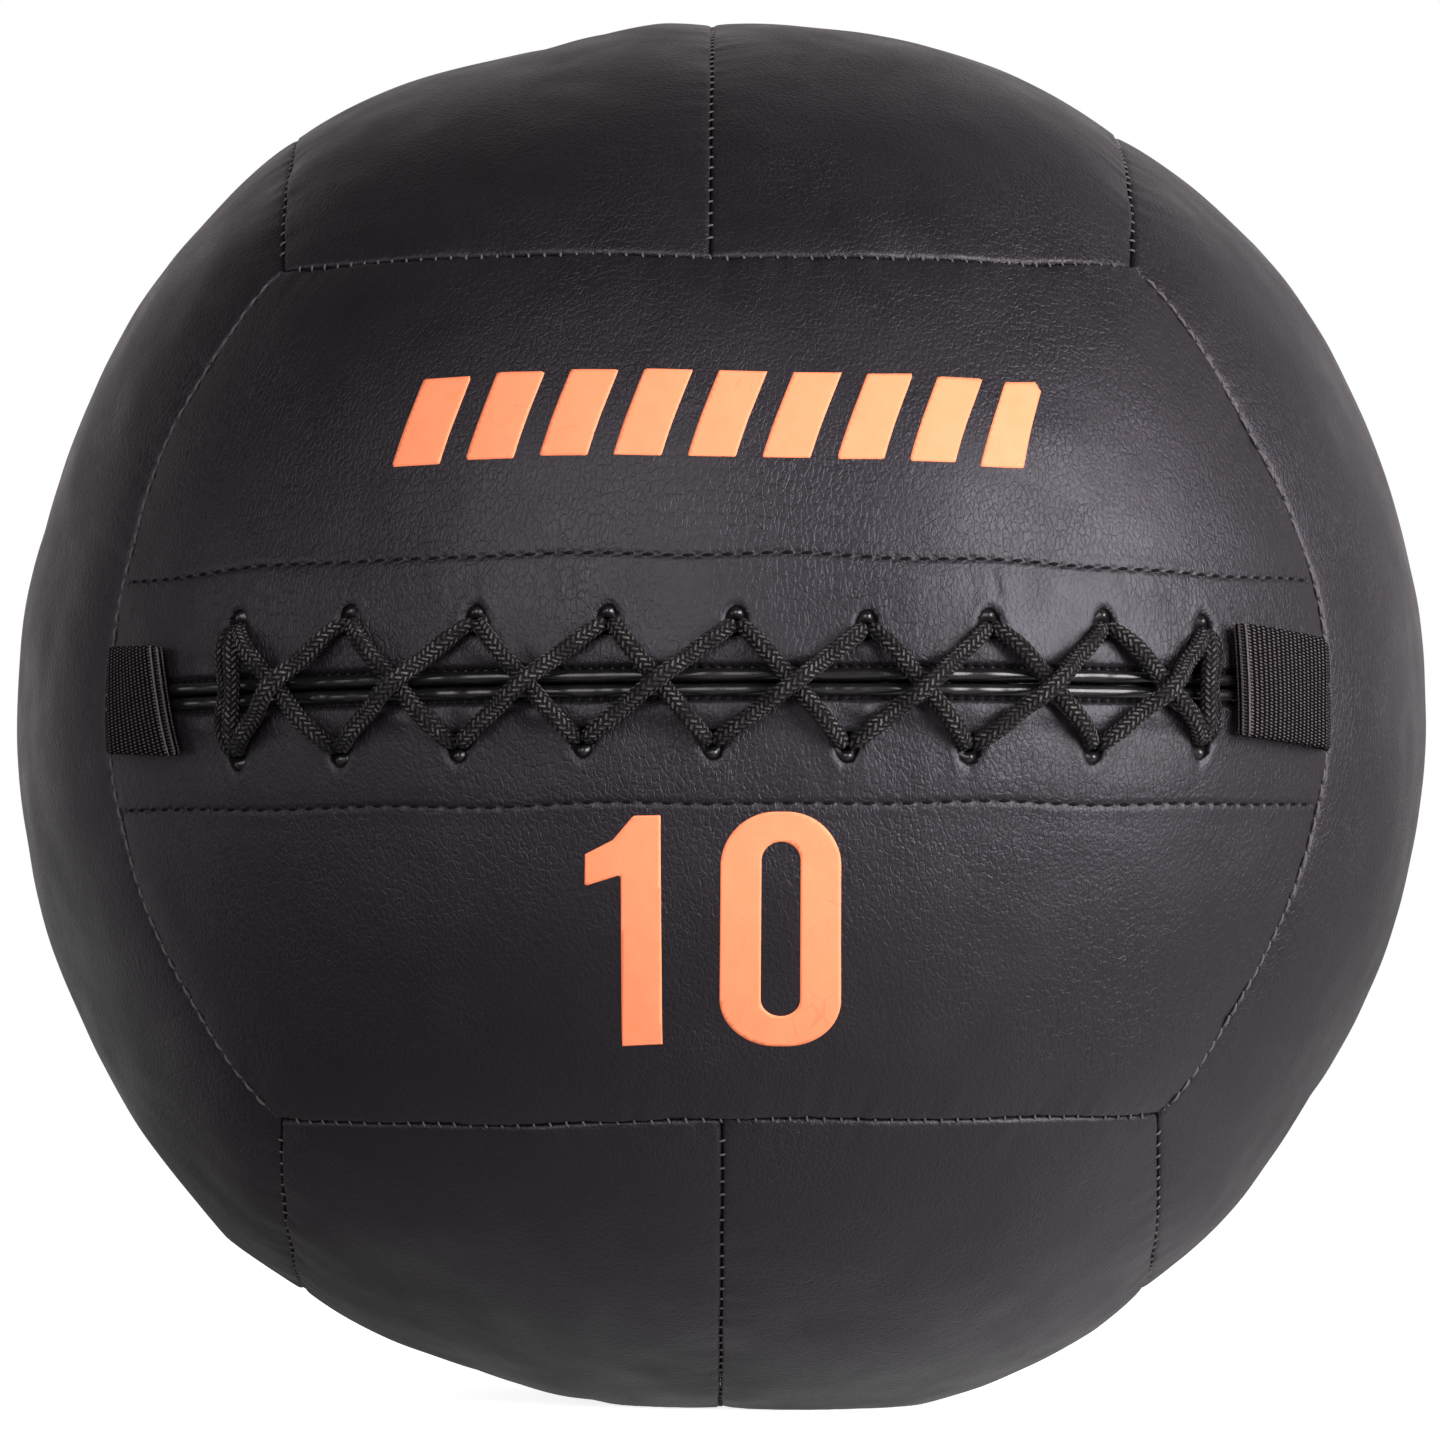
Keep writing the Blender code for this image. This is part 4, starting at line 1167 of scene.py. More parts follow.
@dataclass
class LacedPanel(SkinPanel):
    """A front panel: raised glossy lip, punched holes and rows of sewing beside the slit."""

    plan: LacingPlan = LacingPlan()
    lip_rise: float = 0.0018
    lip_sink: float = 0.0008
    lip_wall: float = 0.0032
    gloss_beyond: float = 0.0002
    skin_thickness: float = 0.0013
    # Relief behind the lip, over the distance from it
    sewn_valley: Ramp = Ramp(0.0, 0.0016)
    lip_stitch: Swell = Swell(0.0004, 0.0007, 0.00070)
    lip_pad: Swell = Swell(0.0035, 0.0028, 0.00045)
    lip_unevenness: float = 0.00012
    pad_unevenness: float = 0.35
    # Relief round a hole, over shares of its size
    hole_ridge: Swell = Swell(1.6, 0.45, 0.00010)
    hole_groove: Swell = Swell(1.0, 0.18, 0.00034)
    hole_crease: Swell = Swell(0.15, 0.28)
    crease_depth: float = 0.00015
    crease_reach: float = 0.8
    # Relief of the long row, over the distance beyond it
    row_groove: Swell = Swell(0.0, 0.0008, 0.00024)
    row_notch: Swell = Swell(0.0, 0.00055, 0.00080)
    row_tip: Swell = Swell(-0.0010, 0.0006, 0.00020)
    row_pad: Swell = Swell(-0.0045, 0.0034, 0.00010)
    row_hollow: Swell = Swell(0.004, 0.003, 0.00008)
    # Creases between the holes and the long row
    fine_crease: float = 0.000025
    crease_bend: float = 0.00048
    crease_bend_turns: float = 300.0
    crease_start: Ramp = Ramp(0.015, 0.005)
    crease_end: Ramp = Ramp(0.0, 0.004)
    crease_patches: Ramp = Ramp(-0.9, 2.0)
    field_swell: Swell = Swell(0.022, 0.006)
    field_depth: float = 0.00003
    along_cell: float = 0.00074
    near_cells: tuple[Pair, ...] = (
        (0.0042, 0.00036),
        (0.0060, 0.00040),
        (0.0200, 0.00058),
        (0.0320, 0.00048),
        (0.0480, 0.00120),
    )

    @property
    def side(self) -> int:
        """1 over the slit and -1 under it."""
        return 1 if self.place is PanelPlace.front_upper else -1

    def holes(self) -> tuple[Oval, ...]:
        """The row of punched holes."""
        return self.plan.ovals(self.side)

    def rows(self) -> Array:
        """Rows that are closest together where the lip, the holes and the sewing are."""
        reached = [self.plan.slit_half]
        for end, cell in self.near_cells:
            start = reached[-1]
            count = round((end - start) / cell)
            reached += [start + (end - start) * (i + 1) / count for i in range(count)]
        rest = self.ball.radius * SEAM_LATITUDE - self.half_gap - reached[-1]
        last = graded(2 * rest, self.fine_cell, self.coarse_cell)
        return np.concatenate([reached, reached[-1] + last[last > rest] - rest])

    def columns(self) -> Array:
        """Even columns, closer at the side seams."""
        length = 2 * self.ball.radius * SIDE_SEAM_ANGLE
        return 2 * graded(length, self.fine_cell * 1.3, self.along_cell) / length - 1

    def topstitch_at(self, along: Array) -> Array:
        """Distance of the long row of sewing from the slit, which it nears at the ends."""
        plan = self.plan
        middle = plan.upper_topstitch_at if self.side > 0 else plan.lower_topstitch_at
        wander = plan.topstitch_wander * Ripple(0.06, 81 + self.side, 1).along(along)
        sag = plan.topstitch_sag * (along / plan.topstitch_half) ** 2
        if self.side > 0:
            sag = sag + plan.right_sag * plan.right_sagging.over(along)
        return middle - sag + wander

    def lip(self, along: Array, across: Array) -> Array:
        """The rolled lip and the sewn valley behind it.

        Args:
            along: Distances along the slit.
            across: Distances from it.

        Returns:
            Heights over the panel's field.
        """
        plan = self.plan
        middle = plan.slit_half + plan.lip_width / 2
        offset = np.clip((across - middle) / (plan.lip_width / 2), -1, 1)
        crest = -self.lip_sink + self.lip_rise * np.sqrt(1 - offset**2)
        beyond = across - (plan.slit_half + plan.lip_width)
        back = -self.lip_sink * (1 - self.sewn_valley.over(beyond))
        beat = 0.5 + 0.5 * np.cos(2 * math.pi * along / plan.lip_stitch_pitch)
        back -= beat * self.lip_stitch.over(beyond)
        crest += self.lip_unevenness * Ripple(0.011, 61 + self.side, 1).along(along)
        uneven = Ripple(0.012, 71 + self.side, 1).along(along + 0.4 * across)
        pad = self.lip_pad.over(beyond) * (1 + self.pad_unevenness * uneven)
        return np.where(across < middle + plan.lip_width / 2, crest, back) + pad

    def punched(self, along: Array, across: Array) -> Array:
        """Ridges round the holes, where the strands pull them.

        Args:
            along: Distances along the slit.
            across: Distances from it.

        Returns:
            Heights over the panel's field.
        """
        height = np.zeros_like(along)
        for hole in self.holes():
            share = hole.share(along, across)
            near = share < 4
            share = share[near]
            aside = (along[near] - hole.along) / hole.half_width
            fading = np.exp(-np.maximum(0, share - 1) / self.crease_reach)
            crease = self.hole_crease.over(aside) * fading * (across[near] > hole.across)
            part = self.hole_ridge.over(share) - self.hole_groove.over(share)
            height[near] += part - self.crease_depth * crease
        return height

    def topstitched(self, along: Array, across: Array) -> Array:
        """The long row of sewing: a groove, a notch for each stitch and raised tips between."""
        off = across - self.topstitch_at(along)
        turn = 2 * math.pi * along / self.plan.topstitch_pitch
        notch = np.maximum(0, np.cos(turn)) ** 6
        height = notch * (self.row_tip.over(off) - self.row_notch.over(off))
        height -= self.row_groove.over(off)
        return height + self.row_pad.over(off) - self.row_hollow.over(off)

    def middle_relief(self, along: Array, across: Array) -> Array:
        """Lip, holes, sewing and the creases between the holes and the long row.

        Args:
            along: Distances along the slit.
            across: Distances from it.

        Returns:
            Heights over the panel's field.
        """
        height = self.lip(along, across) + self.punched(along, across)
        height += self.topstitched(along, across)
        bent = along + self.crease_bend * np.sin(across * self.crease_bend_turns)
        creases = Ripple(0.0042, 91 + self.side, 1).along(bent)
        patches = self.crease_patches.over(Ripple(0.030, 95 + self.side, 1).along(along))
        before_row = self.crease_end.over(self.topstitch_at(along) - across)
        window = self.crease_start.over(across) * before_row
        height += self.fine_crease * creases * patches * window
        beat = Ripple(0.010, 99 + self.side, 1).along(along)
        return height + self.field_depth * beat * self.field_swell.over(across)

    def rings(self) -> list[Four]:
        """Walls at the seams, down the lip and round the holes."""
        turned = super().rings()
        wall = self.lip_wall
        first = (turned[0][0], 0.5 * wall, 0.6 * self.skin_thickness, 0.97)
        return [first, (turned[1][0], wall, self.skin_thickness, 0.94)]

    def finishes(self) -> list[Finish]:
        """Grained field and glossy lip."""
        return [VINYL, LINING]

    def dress(self, piece: bpy.types.Object, patch: Patch) -> None:
        """Gives the lip its gloss."""
        across = (patch.latitude * self.ball.radius)[patch.quads].mean(axis=1)
        lip_end = self.plan.slit_half + self.plan.lip_width + self.gloss_beyond
        piece.data.polygons.foreach_set("material_index", (across < lip_end).astype(np.int32))


@dataclass
class SlitLining:
    """A sheet of lining along the slit, from its near to its far edge across it."""

    ball: BallForm
    near: float
    far: float
    depth: float
    cell: float
    end_share: float

    def patch(self, slots: tuple[Oval, ...] = ()) -> Patch:
        """The sheet's grid, with these openings."""
        across = np.linspace(self.near, self.far, round((self.far - self.near) / self.cell) + 1)
        latitude = across / self.ball.radius
        reach = np.arccos(SEAM_SHARE / np.cos(latitude)) * self.end_share
        count = round(2 * SIDE_SEAM_ANGLE * self.ball.radius / self.cell)
        longitude = reach[:, None] * np.linspace(-1, 1, count)[None, :]
        return Patch(longitude, latitude, self.ball.radius, slots)

    def ways(self, patch: Patch) -> Array:
        """Places of the grid's corners on an even ball, for seeded unevenness."""
        return directions(patch.longitude, patch.latitude) * self.ball.radius

    def laid(
        self, name: str, place: PanelPlace, patch: Patch, height: Array, skins: list[str]
    ) -> bpy.types.Object:
        """Makes the sheet, which lies stretched under the skin.

        Args:
            name: The piece's name.
            place: The panel whose longitudes and latitudes the grid has.
            patch: The grid.
            height: Heights of its corners over the skin.
            skins: The pieces that it lies on. Not used.

        Returns:
            The piece.
        """
        points = self.ball.placed(place, patch.longitude, patch.latitude, height)
        piece = mesh_piece(name, points, patch.quads.tolist(), [LINING])
        return piece


@dataclass
class LaceFacing(SlitLining):
    """A facing behind one row of holes. It bulges into each hole's far end."""

    near: float = 0.0047
    far: float = 0.0262
    depth: float = 0.00175
    cell: float = 0.0007
    end_share: float = 0.97
    plan: LacingPlan = LacingPlan()
    side: int = 1
    slot_set_back: float = 0.0015
    slot_width_share: float = 0.97
    slot_half_height: float = 0.0021
    bulge: Swell = Swell(0.0019, 0.0015, 0.0020)
    bulge_width_share: float = 0.58
    unevenness: float = 0.00008
    highest: float = 0.0004

    def build(self) -> None:
        """Makes the facing and fixes it to the ball."""
        holes = self.plan.ovals(self.side)
        patch = self.patch(
            tuple(
                Oval(
                    hole.along,
                    hole.across - self.slot_set_back,
                    hole.half_width * self.slot_width_share,
                    self.slot_half_height,
                )
                for hole in holes
            )
        )
        along, up = patch.longitude * self.ball.radius, patch.latitude * self.ball.radius
        height = np.full_like(along, -self.depth)
        for hole in holes:
            offset = (along - hole.along) / (self.bulge_width_share * hole.half_width)
            height += np.exp(-(offset**2)) * self.bulge.over(up - hole.across)
        height += self.unevenness * Ripple(0.004, 31, 3).at(self.ways(patch))
        place = PanelPlace.beside_slit(self.side)
        name = "upper" if self.side > 0 else "lower"
        height = np.minimum(height, self.highest)
        piece = self.laid(f"{name}_facing", place, patch, height, [f"front_{name}_skin"])
        settle(piece, "ball", LINING, f"lace_facing_{name}")


@dataclass
class SlitTongue(SlitLining):
    """The lining that closes the slit behind the lace."""

    near: float = -0.0225
    far: float = 0.0225
    depth: float = 0.0108
    cell: float = 0.0012
    end_share: float = 0.92
    fold_depth: float = 0.00035

    def build(self) -> None:
        """Makes the tongue and fixes it to the ball."""
        patch = self.patch()
        folds = 1 + np.sin(Ripple(0.012, 41).at(self.ways(patch)))
        height = -self.depth - self.fold_depth * folds
        skins = ["front_upper_skin", "front_lower_skin"]
        piece = self.laid("slit_lining", PanelPlace.front_upper, patch, height, skins)
        settle(piece, "ball", LINING, "slit_tongue")


@dataclass(frozen=True)
class BraidedTube:
    """A round braid along a line, with its yarns raised."""

    step: float = 0.0015
    relief: float = 0.00030
    sides: int = 24
    # Share of the yarns' height that lies at the cord's radius
    level: float = 0.6

    def yarns(self, turn: Array, step: Array) -> Array:
        """Height of the yarns, 0 to 1, at shares of a turn and braid steps."""
        rising, falling = turn * CORD.carriers + step, turn * CORD.carriers - step
        first_float = (falling + np.floor(rising)) % 4
        second_float = (rising + np.floor(falling)) % 4
        heights = []
        for place, along in ((rising, first_float), (falling, second_float)):
            bow = np.minimum(1, np.abs(np.sin(math.pi / 2 * along)) / CORD.level_bow)
            heights.append(np.sin(math.pi * (place % 1)) * bow)
        return np.where(first_float > 2, heights[1], heights[0])

    def carried(self, ways: Array) -> Array:
        """Normals along a line, each turned from the one before as little as can be."""
        normal = np.array((0.0, 0.0, 1.0))
        normals = np.empty_like(ways)
        for index, way in enumerate(ways):
            normal = normal - way * (normal @ way)
            normal /= np.linalg.norm(normal)
            normals[index] = normal
        return normals

    def along(self, name: str, line: Array, radii: Array) -> bpy.types.Object:
        """Makes the tube.

        Args:
            name: The piece's name.
            line: Points of shape (n, 3).
            radii: The cord's radius at each.

        Returns:
            The piece, with a UV map in shares of a turn and braid steps.
        """
        ways = np.gradient(line, axis=0)
        ways /= np.linalg.norm(ways, axis=1, keepdims=True)
        normals = self.carried(ways)
        steps = reached_along(line) / self.step
        turns = np.arange(self.sides) / self.sides
        relief = (self.yarns(turns[None, :], steps[:, None]) - self.level) * self.relief
        angle = 2 * math.pi * turns[None, :, None]
        sideways = np.cross(ways, normals)[:, None, :]
        ring = np.cos(angle) * normals[:, None, :] + np.sin(angle) * sideways
        points = line[:, None, :] + ring * (radii[:, None] + relief)[:, :, None]
        count = len(line)
        faces = tube_quads(count, self.sides).reshape(-1, 4).tolist()
        faces.append(list(range(self.sides))[::-1])
        faces.append(list(range((count - 1) * self.sides, count * self.sides)))
        piece = mesh_piece(name, points.reshape(-1, 3), faces, [CORD])
        low = np.broadcast_to(turns[None, :], (count - 1, self.sides))
        high = low + 1 / self.sides
        early = np.broadcast_to(steps[:-1, None], low.shape)
        late = np.broadcast_to(steps[1:, None], low.shape)
        corners = [(low, early), (high, early), (high, late), (low, late)]
        places = np.stack([np.stack(corner, axis=-1) for corner in corners], axis=2)
        on_ends = np.zeros((2 * self.sides, 2))
        set_uv(piece, "braid", np.concatenate([places.reshape(-1, 2), on_ends]))
        return piece


@dataclass(frozen=True)
class EndStrand:
    """How an upright strand at an end of the row lies: its lean along, its crest, its radius."""

    lean: float
    crest: float
    radius: float


@dataclass
class Lace:
    """The one braided lace through all the holes."""

    ball: BallForm
    plan: LacingPlan
    cord_radius: float = 0.0022
    crossing_radius: float = 0.00206
    leaving_radius: float = 0.00192
    left_outer: EndStrand = EndStrand(0.0004, 0.0024, 0.0015)
    left_inner: EndStrand = EndStrand(0.0031, 0.0044, 0.0019)
    right_inner: EndStrand = EndStrand(-0.0027, 0.0044, 0.0019)
    right_outer: EndStrand = EndStrand(-0.0011, 0.0024, 0.0015)
    end_mouth_radius: float = 0.0013
    hidden_radius: float = 0.001276
    knot_share: float = 1.25
    over_lip: float = 0.00340
    over_strand: float = 0.00764
    shallow_depth: float = 0.005076
    deep_depth: float = 0.008228
    facing_bottom: float = 0.0027
    tongue_top: float = 0.010104
    tail_length: float = 0.0098
    # Shares of a strand's radius at a hole's mouth, and where an upright strand leaves it
    mouth_share: float = 0.93
    upright_share: float = 0.96
    # Height at the mouth, and place and height of the bend over the lip, as shares of over_lip
    mouth_height: float = 0.12
    bend: Pair = (0.80, 0.86)
    # Places of a strand and shares of its rise to the crest or of its hidden depth
    crest_shares: tuple[Pair, ...] = ((0.4, 0.27), (0.14, 0.9))
    hidden_shares: tuple[Pair, ...] = ((0.96, 0.82), (0.78, 1.0))
    # Shares of the tail's length and depth, and whether the knot is there
    tail_shares: tuple[tuple[float, float, bool], ...] = (
        (1.15, 1.0, False),
        (1.0, 1.0, True),
        (0.7, 1.0, True),
        (0.55, 1.0, False),
        (0.15, 0.9, False),
    )
    ring_spacing: float = 0.00042
    braid: BraidedTube = BraidedTube()

    def run(self, start: Pair, end: Pair, half: list[Four], crest: list[Four]) -> list[Four]:
        """Stations between two holes.

        Args:
            start: First hole, as distances along and across.
            end: Last hole.
            half: Stations (place, height, radius, spread) before midway. Place runs from 1
                over the start to -1 over the end.
            crest: The station midway, or none.

        Returns:
            Stations as (along, across, height, radius).
        """
        back = [(-place, *rest) for place, *rest in reversed(half)]
        points = []
        for place, height, radius, spread in half + crest + back:
            mix = (1 - place) / 2
            along = start[0] + (end[0] - start[0]) * mix + spread
            across = start[1] + (end[1] - start[1]) * mix
            points.append((along, across, height, radius))
        return points

    def over(
        self, start: Pair, end: Pair, high: bool = False, upright: EndStrand | None = None
    ) -> list[Four]:
        """A strand from hole to hole over the lips, or over the strand that lies there too.

        Args:
            start: First hole.
            end: Last hole.
            high: Whether it lies over the other strand.
            upright: How it lies if it is one of the upright ones at the row's ends.

        Returns:
            Its stations.
        """
        crest = self.over_strand if high else self.over_lip
        full, leaving, aside = self.crossing_radius, self.leaving_radius, 0.0
        mouth = leaving * self.mouth_share
        if upright is not None:
            full, leaving, aside = upright.radius, upright.radius * self.upright_share, upright.lean
            crest, mouth = upright.crest, self.end_mouth_radius
        place, share = self.bend
        half = [
            (1, -self.facing_bottom, self.hidden_radius, 0),
            (1, self.mouth_height * self.over_lip, mouth, 0),
            (place, share * self.over_lip, (leaving + full) / 2, aside / 2),
        ]
        if high:
            for place, share in self.crest_shares:
                height = self.over_lip + share * (crest - self.over_lip)
                half.append((place, height, full, aside))
        return self.run(start, end, half, [(0, crest, full, aside)])

    def under(self, start: Pair, end: Pair, depth: float) -> list[Four]:
        """A strand from hole to hole under the lips."""
        half = [
            (place, -share * depth, self.hidden_radius, 0.0) for place, share in self.hidden_shares
        ]
        return self.run(start, end, half, [])

    def tail(self, end: Pair) -> list[Four]:
        """From a knot inside the slit to a hole.

        Args:
            end: The hole.

        Returns:
            The stations in that order.
        """
        along, across = end
        outward = math.copysign(self.tail_length, across)
        depth = (self.facing_bottom + self.tongue_top) / 2
        knot = self.cord_radius * self.knot_share
        return [
            (along, across + share * outward, -down * depth, knot if thick else self.hidden_radius)
            for share, down, thick in self.tail_shares
        ]

    def route(self) -> Array:
        """Every station of the lace in order, of shape (n, 4)."""
        at, last = self.plan.strand_at, self.plan.columns - 1
        inner, back = range(1, last), range(last - 1, 0, -1)
        # Where each strand over the lips starts over the slit, and where it ends under it
        starts = [(0, -1), (0, 0), (0, 1), *((column, 0.5) for column in inner)]
        starts += [(last, 0), (last, 1), (last, -1), *((column, -0.5) for column in back)]
        ends = [(0, -1), (0, 0), *((column, -0.5) for column in inner), (last, -1)]
        ends += [(last, 0), (last, 1), *((column, 0.5) for column in back), (0, 1)]
        turned = last + 3
        uprights = {0: self.left_outer, 1: self.left_inner}
        uprights |= {turned - 1: self.right_inner, turned: self.right_outer}
        starts = [at(column, 1, slot) for column, slot in starts]
        ends = [at(column, -1, slot) for column, slot in ends]
        stations = self.tail(starts[0])
        for number, (start, end) in enumerate(zip(starts, ends)):
            stations += self.over(start, end, number > turned, uprights.get(number))
            if number + 1 < len(starts):
                depth = self.shallow_depth if number < turned else self.deep_depth
                stations += self.under(end, starts[number + 1], depth)
        return np.array(stations + self.tail(ends[-1])[::-1])

    def smoothed(self, stations: Array) -> Array:
        """Joins stations by one smooth curve and samples it at even steps.

        Args:
            stations: Stations as (along, across, height, radius), of shape (n, 4).

        Returns:
            The samples, also of four columns.
        """
        reached = reached_along(stations[:, :3])
        slopes = np.gradient(stations, reached, axis=0)
        steps = round(reached[-1] / self.ring_spacing)
        places = np.linspace(0, reached[-1], steps)
        index = np.clip(np.searchsorted(reached, places, "right") - 1, 0, len(reached) - 2)
        span = (reached[index + 1] - reached[index])[:, None]
        t = (places - reached[index])[:, None] / span
        first, second = stations[index], stations[index + 1]
        rise, fall = slopes[index] * span, slopes[index + 1] * span
        curve = first * (2 * t**3 - 3 * t**2 + 1) + second * (3 * t**2 - 2 * t**3)
        return curve + rise * (t**3 - 2 * t**2 + t) + fall * (t**3 - t**2)

    def build(self) -> None:
        """Makes the lace and fixes it to the ball."""
        curve = self.smoothed(self.route())
        line = self.ball.on_front(curve[:, 0], curve[:, 1], curve[:, 2])
        settle(self.braid.along("lace_braid", line, curve[:, 3]), "ball", CORD, "lace")


@dataclass
class StitchRow:
    """A row of sewn stitches, one bowed thread copied along a line."""

    name: str
    ball: BallForm
    thread_radius: float
    length: float
    height: float
    bow: float
    slant_deg: float = 0.0
    finish: Finish = THREAD
    bend_share: float = 0.32
    thinning: float = 0.35
    probe: float = 0.0005

    def template(self) -> Shape:
        """One stitch along X: a short thread whose ends dive.

        Returns:
            Its points and faces.
        """
        bpy.ops.object.select_all(action="DESELECT")
        bpy.ops.mesh.primitive_cylinder_add(
            vertices=6, radius=self.thread_radius, depth=self.length, rotation=(0, math.pi / 2, 0)
        )
        made = bpy.context.object
        bpy.ops.object.transform_apply(location=False, rotation=True, scale=False)
        bpy.ops.object.mode_set(mode="EDIT")
        for share in (0.0, -self.bend_share, self.bend_share):
            bpy.ops.mesh.select_all(action="SELECT")
            bpy.ops.mesh.bisect(plane_co=(share * self.length, 0, 0), plane_no=(1, 0, 0))
        bpy.ops.object.mode_set(mode="OBJECT")
        points = np.array([vertex.co for vertex in made.data.vertices])
        faces = [list(face.vertices) for face in made.data.polygons]
        bpy.data.objects.remove(made)
        share = points[:, 0] / (self.length / 2)
        points[:, 1:] *= (1 - self.thinning * share**2)[:, None]
        points[:, 2] -= self.bow * share**2
        return points, faces

    def sewn(
        self,
        place: PanelPlace,
        longitude: Array,
        latitude: Array,
        crosswise: bool,
        relief: Callable[[Array, Array], Array] | None = None,
    ) -> Shape:
        """Copies of the stitch at places on a panel.

        Args:
            place: The panel.
            longitude: Longitudes of the stitches' middles.
            latitude: Latitudes of their middles.
            crosswise: Whether they lie across the row and not along it.
            relief: The skin's relief there, if the stitches follow it.

        Returns:
            Points and faces of all the copies.
        """
        single, shape = self.template()
        height = np.full(len(longitude), self.height)
        if relief is not None:
            height += relief(longitude, latitude)
        step = self.probe / self.ball.radius
        middle = self.ball.placed(place, longitude, latitude, height)
        ahead = self.ball.placed(place, longitude + step / np.cos(latitude), latitude, height)
        up = self.ball.placed(place, longitude, latitude + step, height)
        along, rise = ahead - middle, up - middle
        along /= np.linalg.norm(along, axis=1, keepdims=True)
        rise -= along * (rise * along).sum(axis=1, keepdims=True)
        rise /= np.linalg.norm(rise, axis=1, keepdims=True)
        lean = math.radians(self.slant_deg + (90 if crosswise else 0))
        first = along * math.cos(lean) + rise * math.sin(lean)
        second = rise * math.cos(lean) - along * math.sin(lean)
        outward = np.cross(first, second)
        axes = np.stack([first, second, outward], axis=1)
        points = middle[:, None, :] + np.einsum("pk,nkc->npc", single, axes)
        return joined([(stitch, shape) for stitch in points])

    def build(self, rows: list[Shape]) -> None:
        """Joins rows of stitches in one piece and fixes it to the ball."""
        settle(mesh_piece(self.name, *joined(rows), [self.finish]), "ball", self.finish)


@dataclass
class Sewing:
    """All the sewing on the ball."""

    ball: BallForm
    plan: LacingPlan
    seam_pitch: float = 0.0040
    seam_margin: float = 0.004
    long_row_margin: float = 0.002
    lip_row_margin: float = 0.010

    def build(self, panels: dict[PanelPlace, SkinPanel]) -> None:
        """Makes the seams' ticks, the long rows and the lips' rows.

        Args:
            panels: The built panels, whose relief the rows follow.
        """
        self.seam_ticks()
        long_rows = StitchRow(
            "long_row_thread",
            self.ball,
            thread_radius=0.00050,
            length=0.0037,
            height=0.00002,
            bow=0.0007,
            slant_deg=4.0,
        )
        lip_rows = StitchRow(
            "lip_row_thread",
            self.ball,
            thread_radius=0.00038,
            length=0.0020,
            height=0.00004,
            bow=0.0006,
        )
        long_made, lip_made = [], []
        plan = self.plan
        for place in (PanelPlace.front_upper, PanelPlace.front_lower):
            panel = panels[place]
            made = self.row_places(panel.topstitch_at, plan.topstitch_pitch, self.long_row_margin)
            long_made.append(long_rows.sewn(place, *made, False, panel.relief))
            made = self.row_places(self.lip_row_at, plan.lip_stitch_pitch, self.lip_row_margin)
            lip_made.append(lip_rows.sewn(place, *made, False, panel.relief))
        long_rows.build(long_made)
        lip_rows.build(lip_made)

    def lip_row_at(self, along: Array) -> Array:
        """Distance of the lips' sewing from the slit."""
        return np.full_like(along, self.plan.lip_stitch_at)

    def row_places(
        self, across_at: Callable[[Array], Array], pitch: float, margin: float
    ) -> tuple[Array, Array]:
        """Longitudes and latitudes of stitches in a row beside the slit.

        Args:
            across_at: Gives the row's distance from the slit at places along it.
            pitch: From stitch to stitch.
            margin: Length kept free at the side seams.

        Returns:
            Longitudes and latitudes of their middles.
        """
        radius = self.ball.radius
        count = math.floor((SIDE_SEAM_ANGLE * radius - margin) / pitch)
        along = (np.arange(-count, count) + 0.5) * pitch
        latitude = across_at(along) / radius
        inside = np.abs(along) < np.arccos(SEAM_SHARE / np.cos(latitude)) * radius - margin
        return along[inside] / radius, latitude[inside]

    def seam_ticks(self) -> None:
        """Short threads that show across every seam."""
        radius = self.ball.radius
        ticks = StitchRow(
            "seam_ticks",
            self.ball,
            thread_radius=0.00030,
            length=0.0020,
            height=-0.00075,
            bow=0.0003,
            slant_deg=14.0,
            finish=SEAM_THREAD,
        )
        chain = StitchRow(
            "side_seam_thread",
            self.ball,
            thread_radius=0.00040,
            length=0.0033,
            height=-0.00046,
            bow=0.0004,
            slant_deg=5.0,
            finish=SEAM_THREAD,
        )
        rows, chains = [], []
        turn = self.seam_places(RIM_SHARE * radius, math.radians(45))
        latitude = np.full(len(turn), SEAM_LATITUDE)
        for place in PanelPlace:
            if place in (PanelPlace.left_front, PanelPlace.right_front):
                chains.append(chain.sewn(place, turn, latitude, False))
            else:
                rows.append(ticks.sewn(place, turn, latitude, True))
        turn = self.seam_places(radius, SIDE_SEAM_ANGLE)
        for place in (
            PanelPlace.back_upper,
            PanelPlace.bottom_right,
            PanelPlace.top_right,
            PanelPlace.left_back,
            PanelPlace.right_back,
        ):
            rows.append(ticks.sewn(place, turn, np.zeros(len(turn)), True))
        ticks.build(rows)
        chain.build(chains)

    def seam_places(self, radius: float, half_turn: float) -> Array:
        """Turns of the ticks along a seam of this radius, from its middle to both ends."""
        count = math.floor((radius * half_turn - self.seam_margin) / self.seam_pitch)
        return np.arange(-count, count + 1) * self.seam_pitch / radius


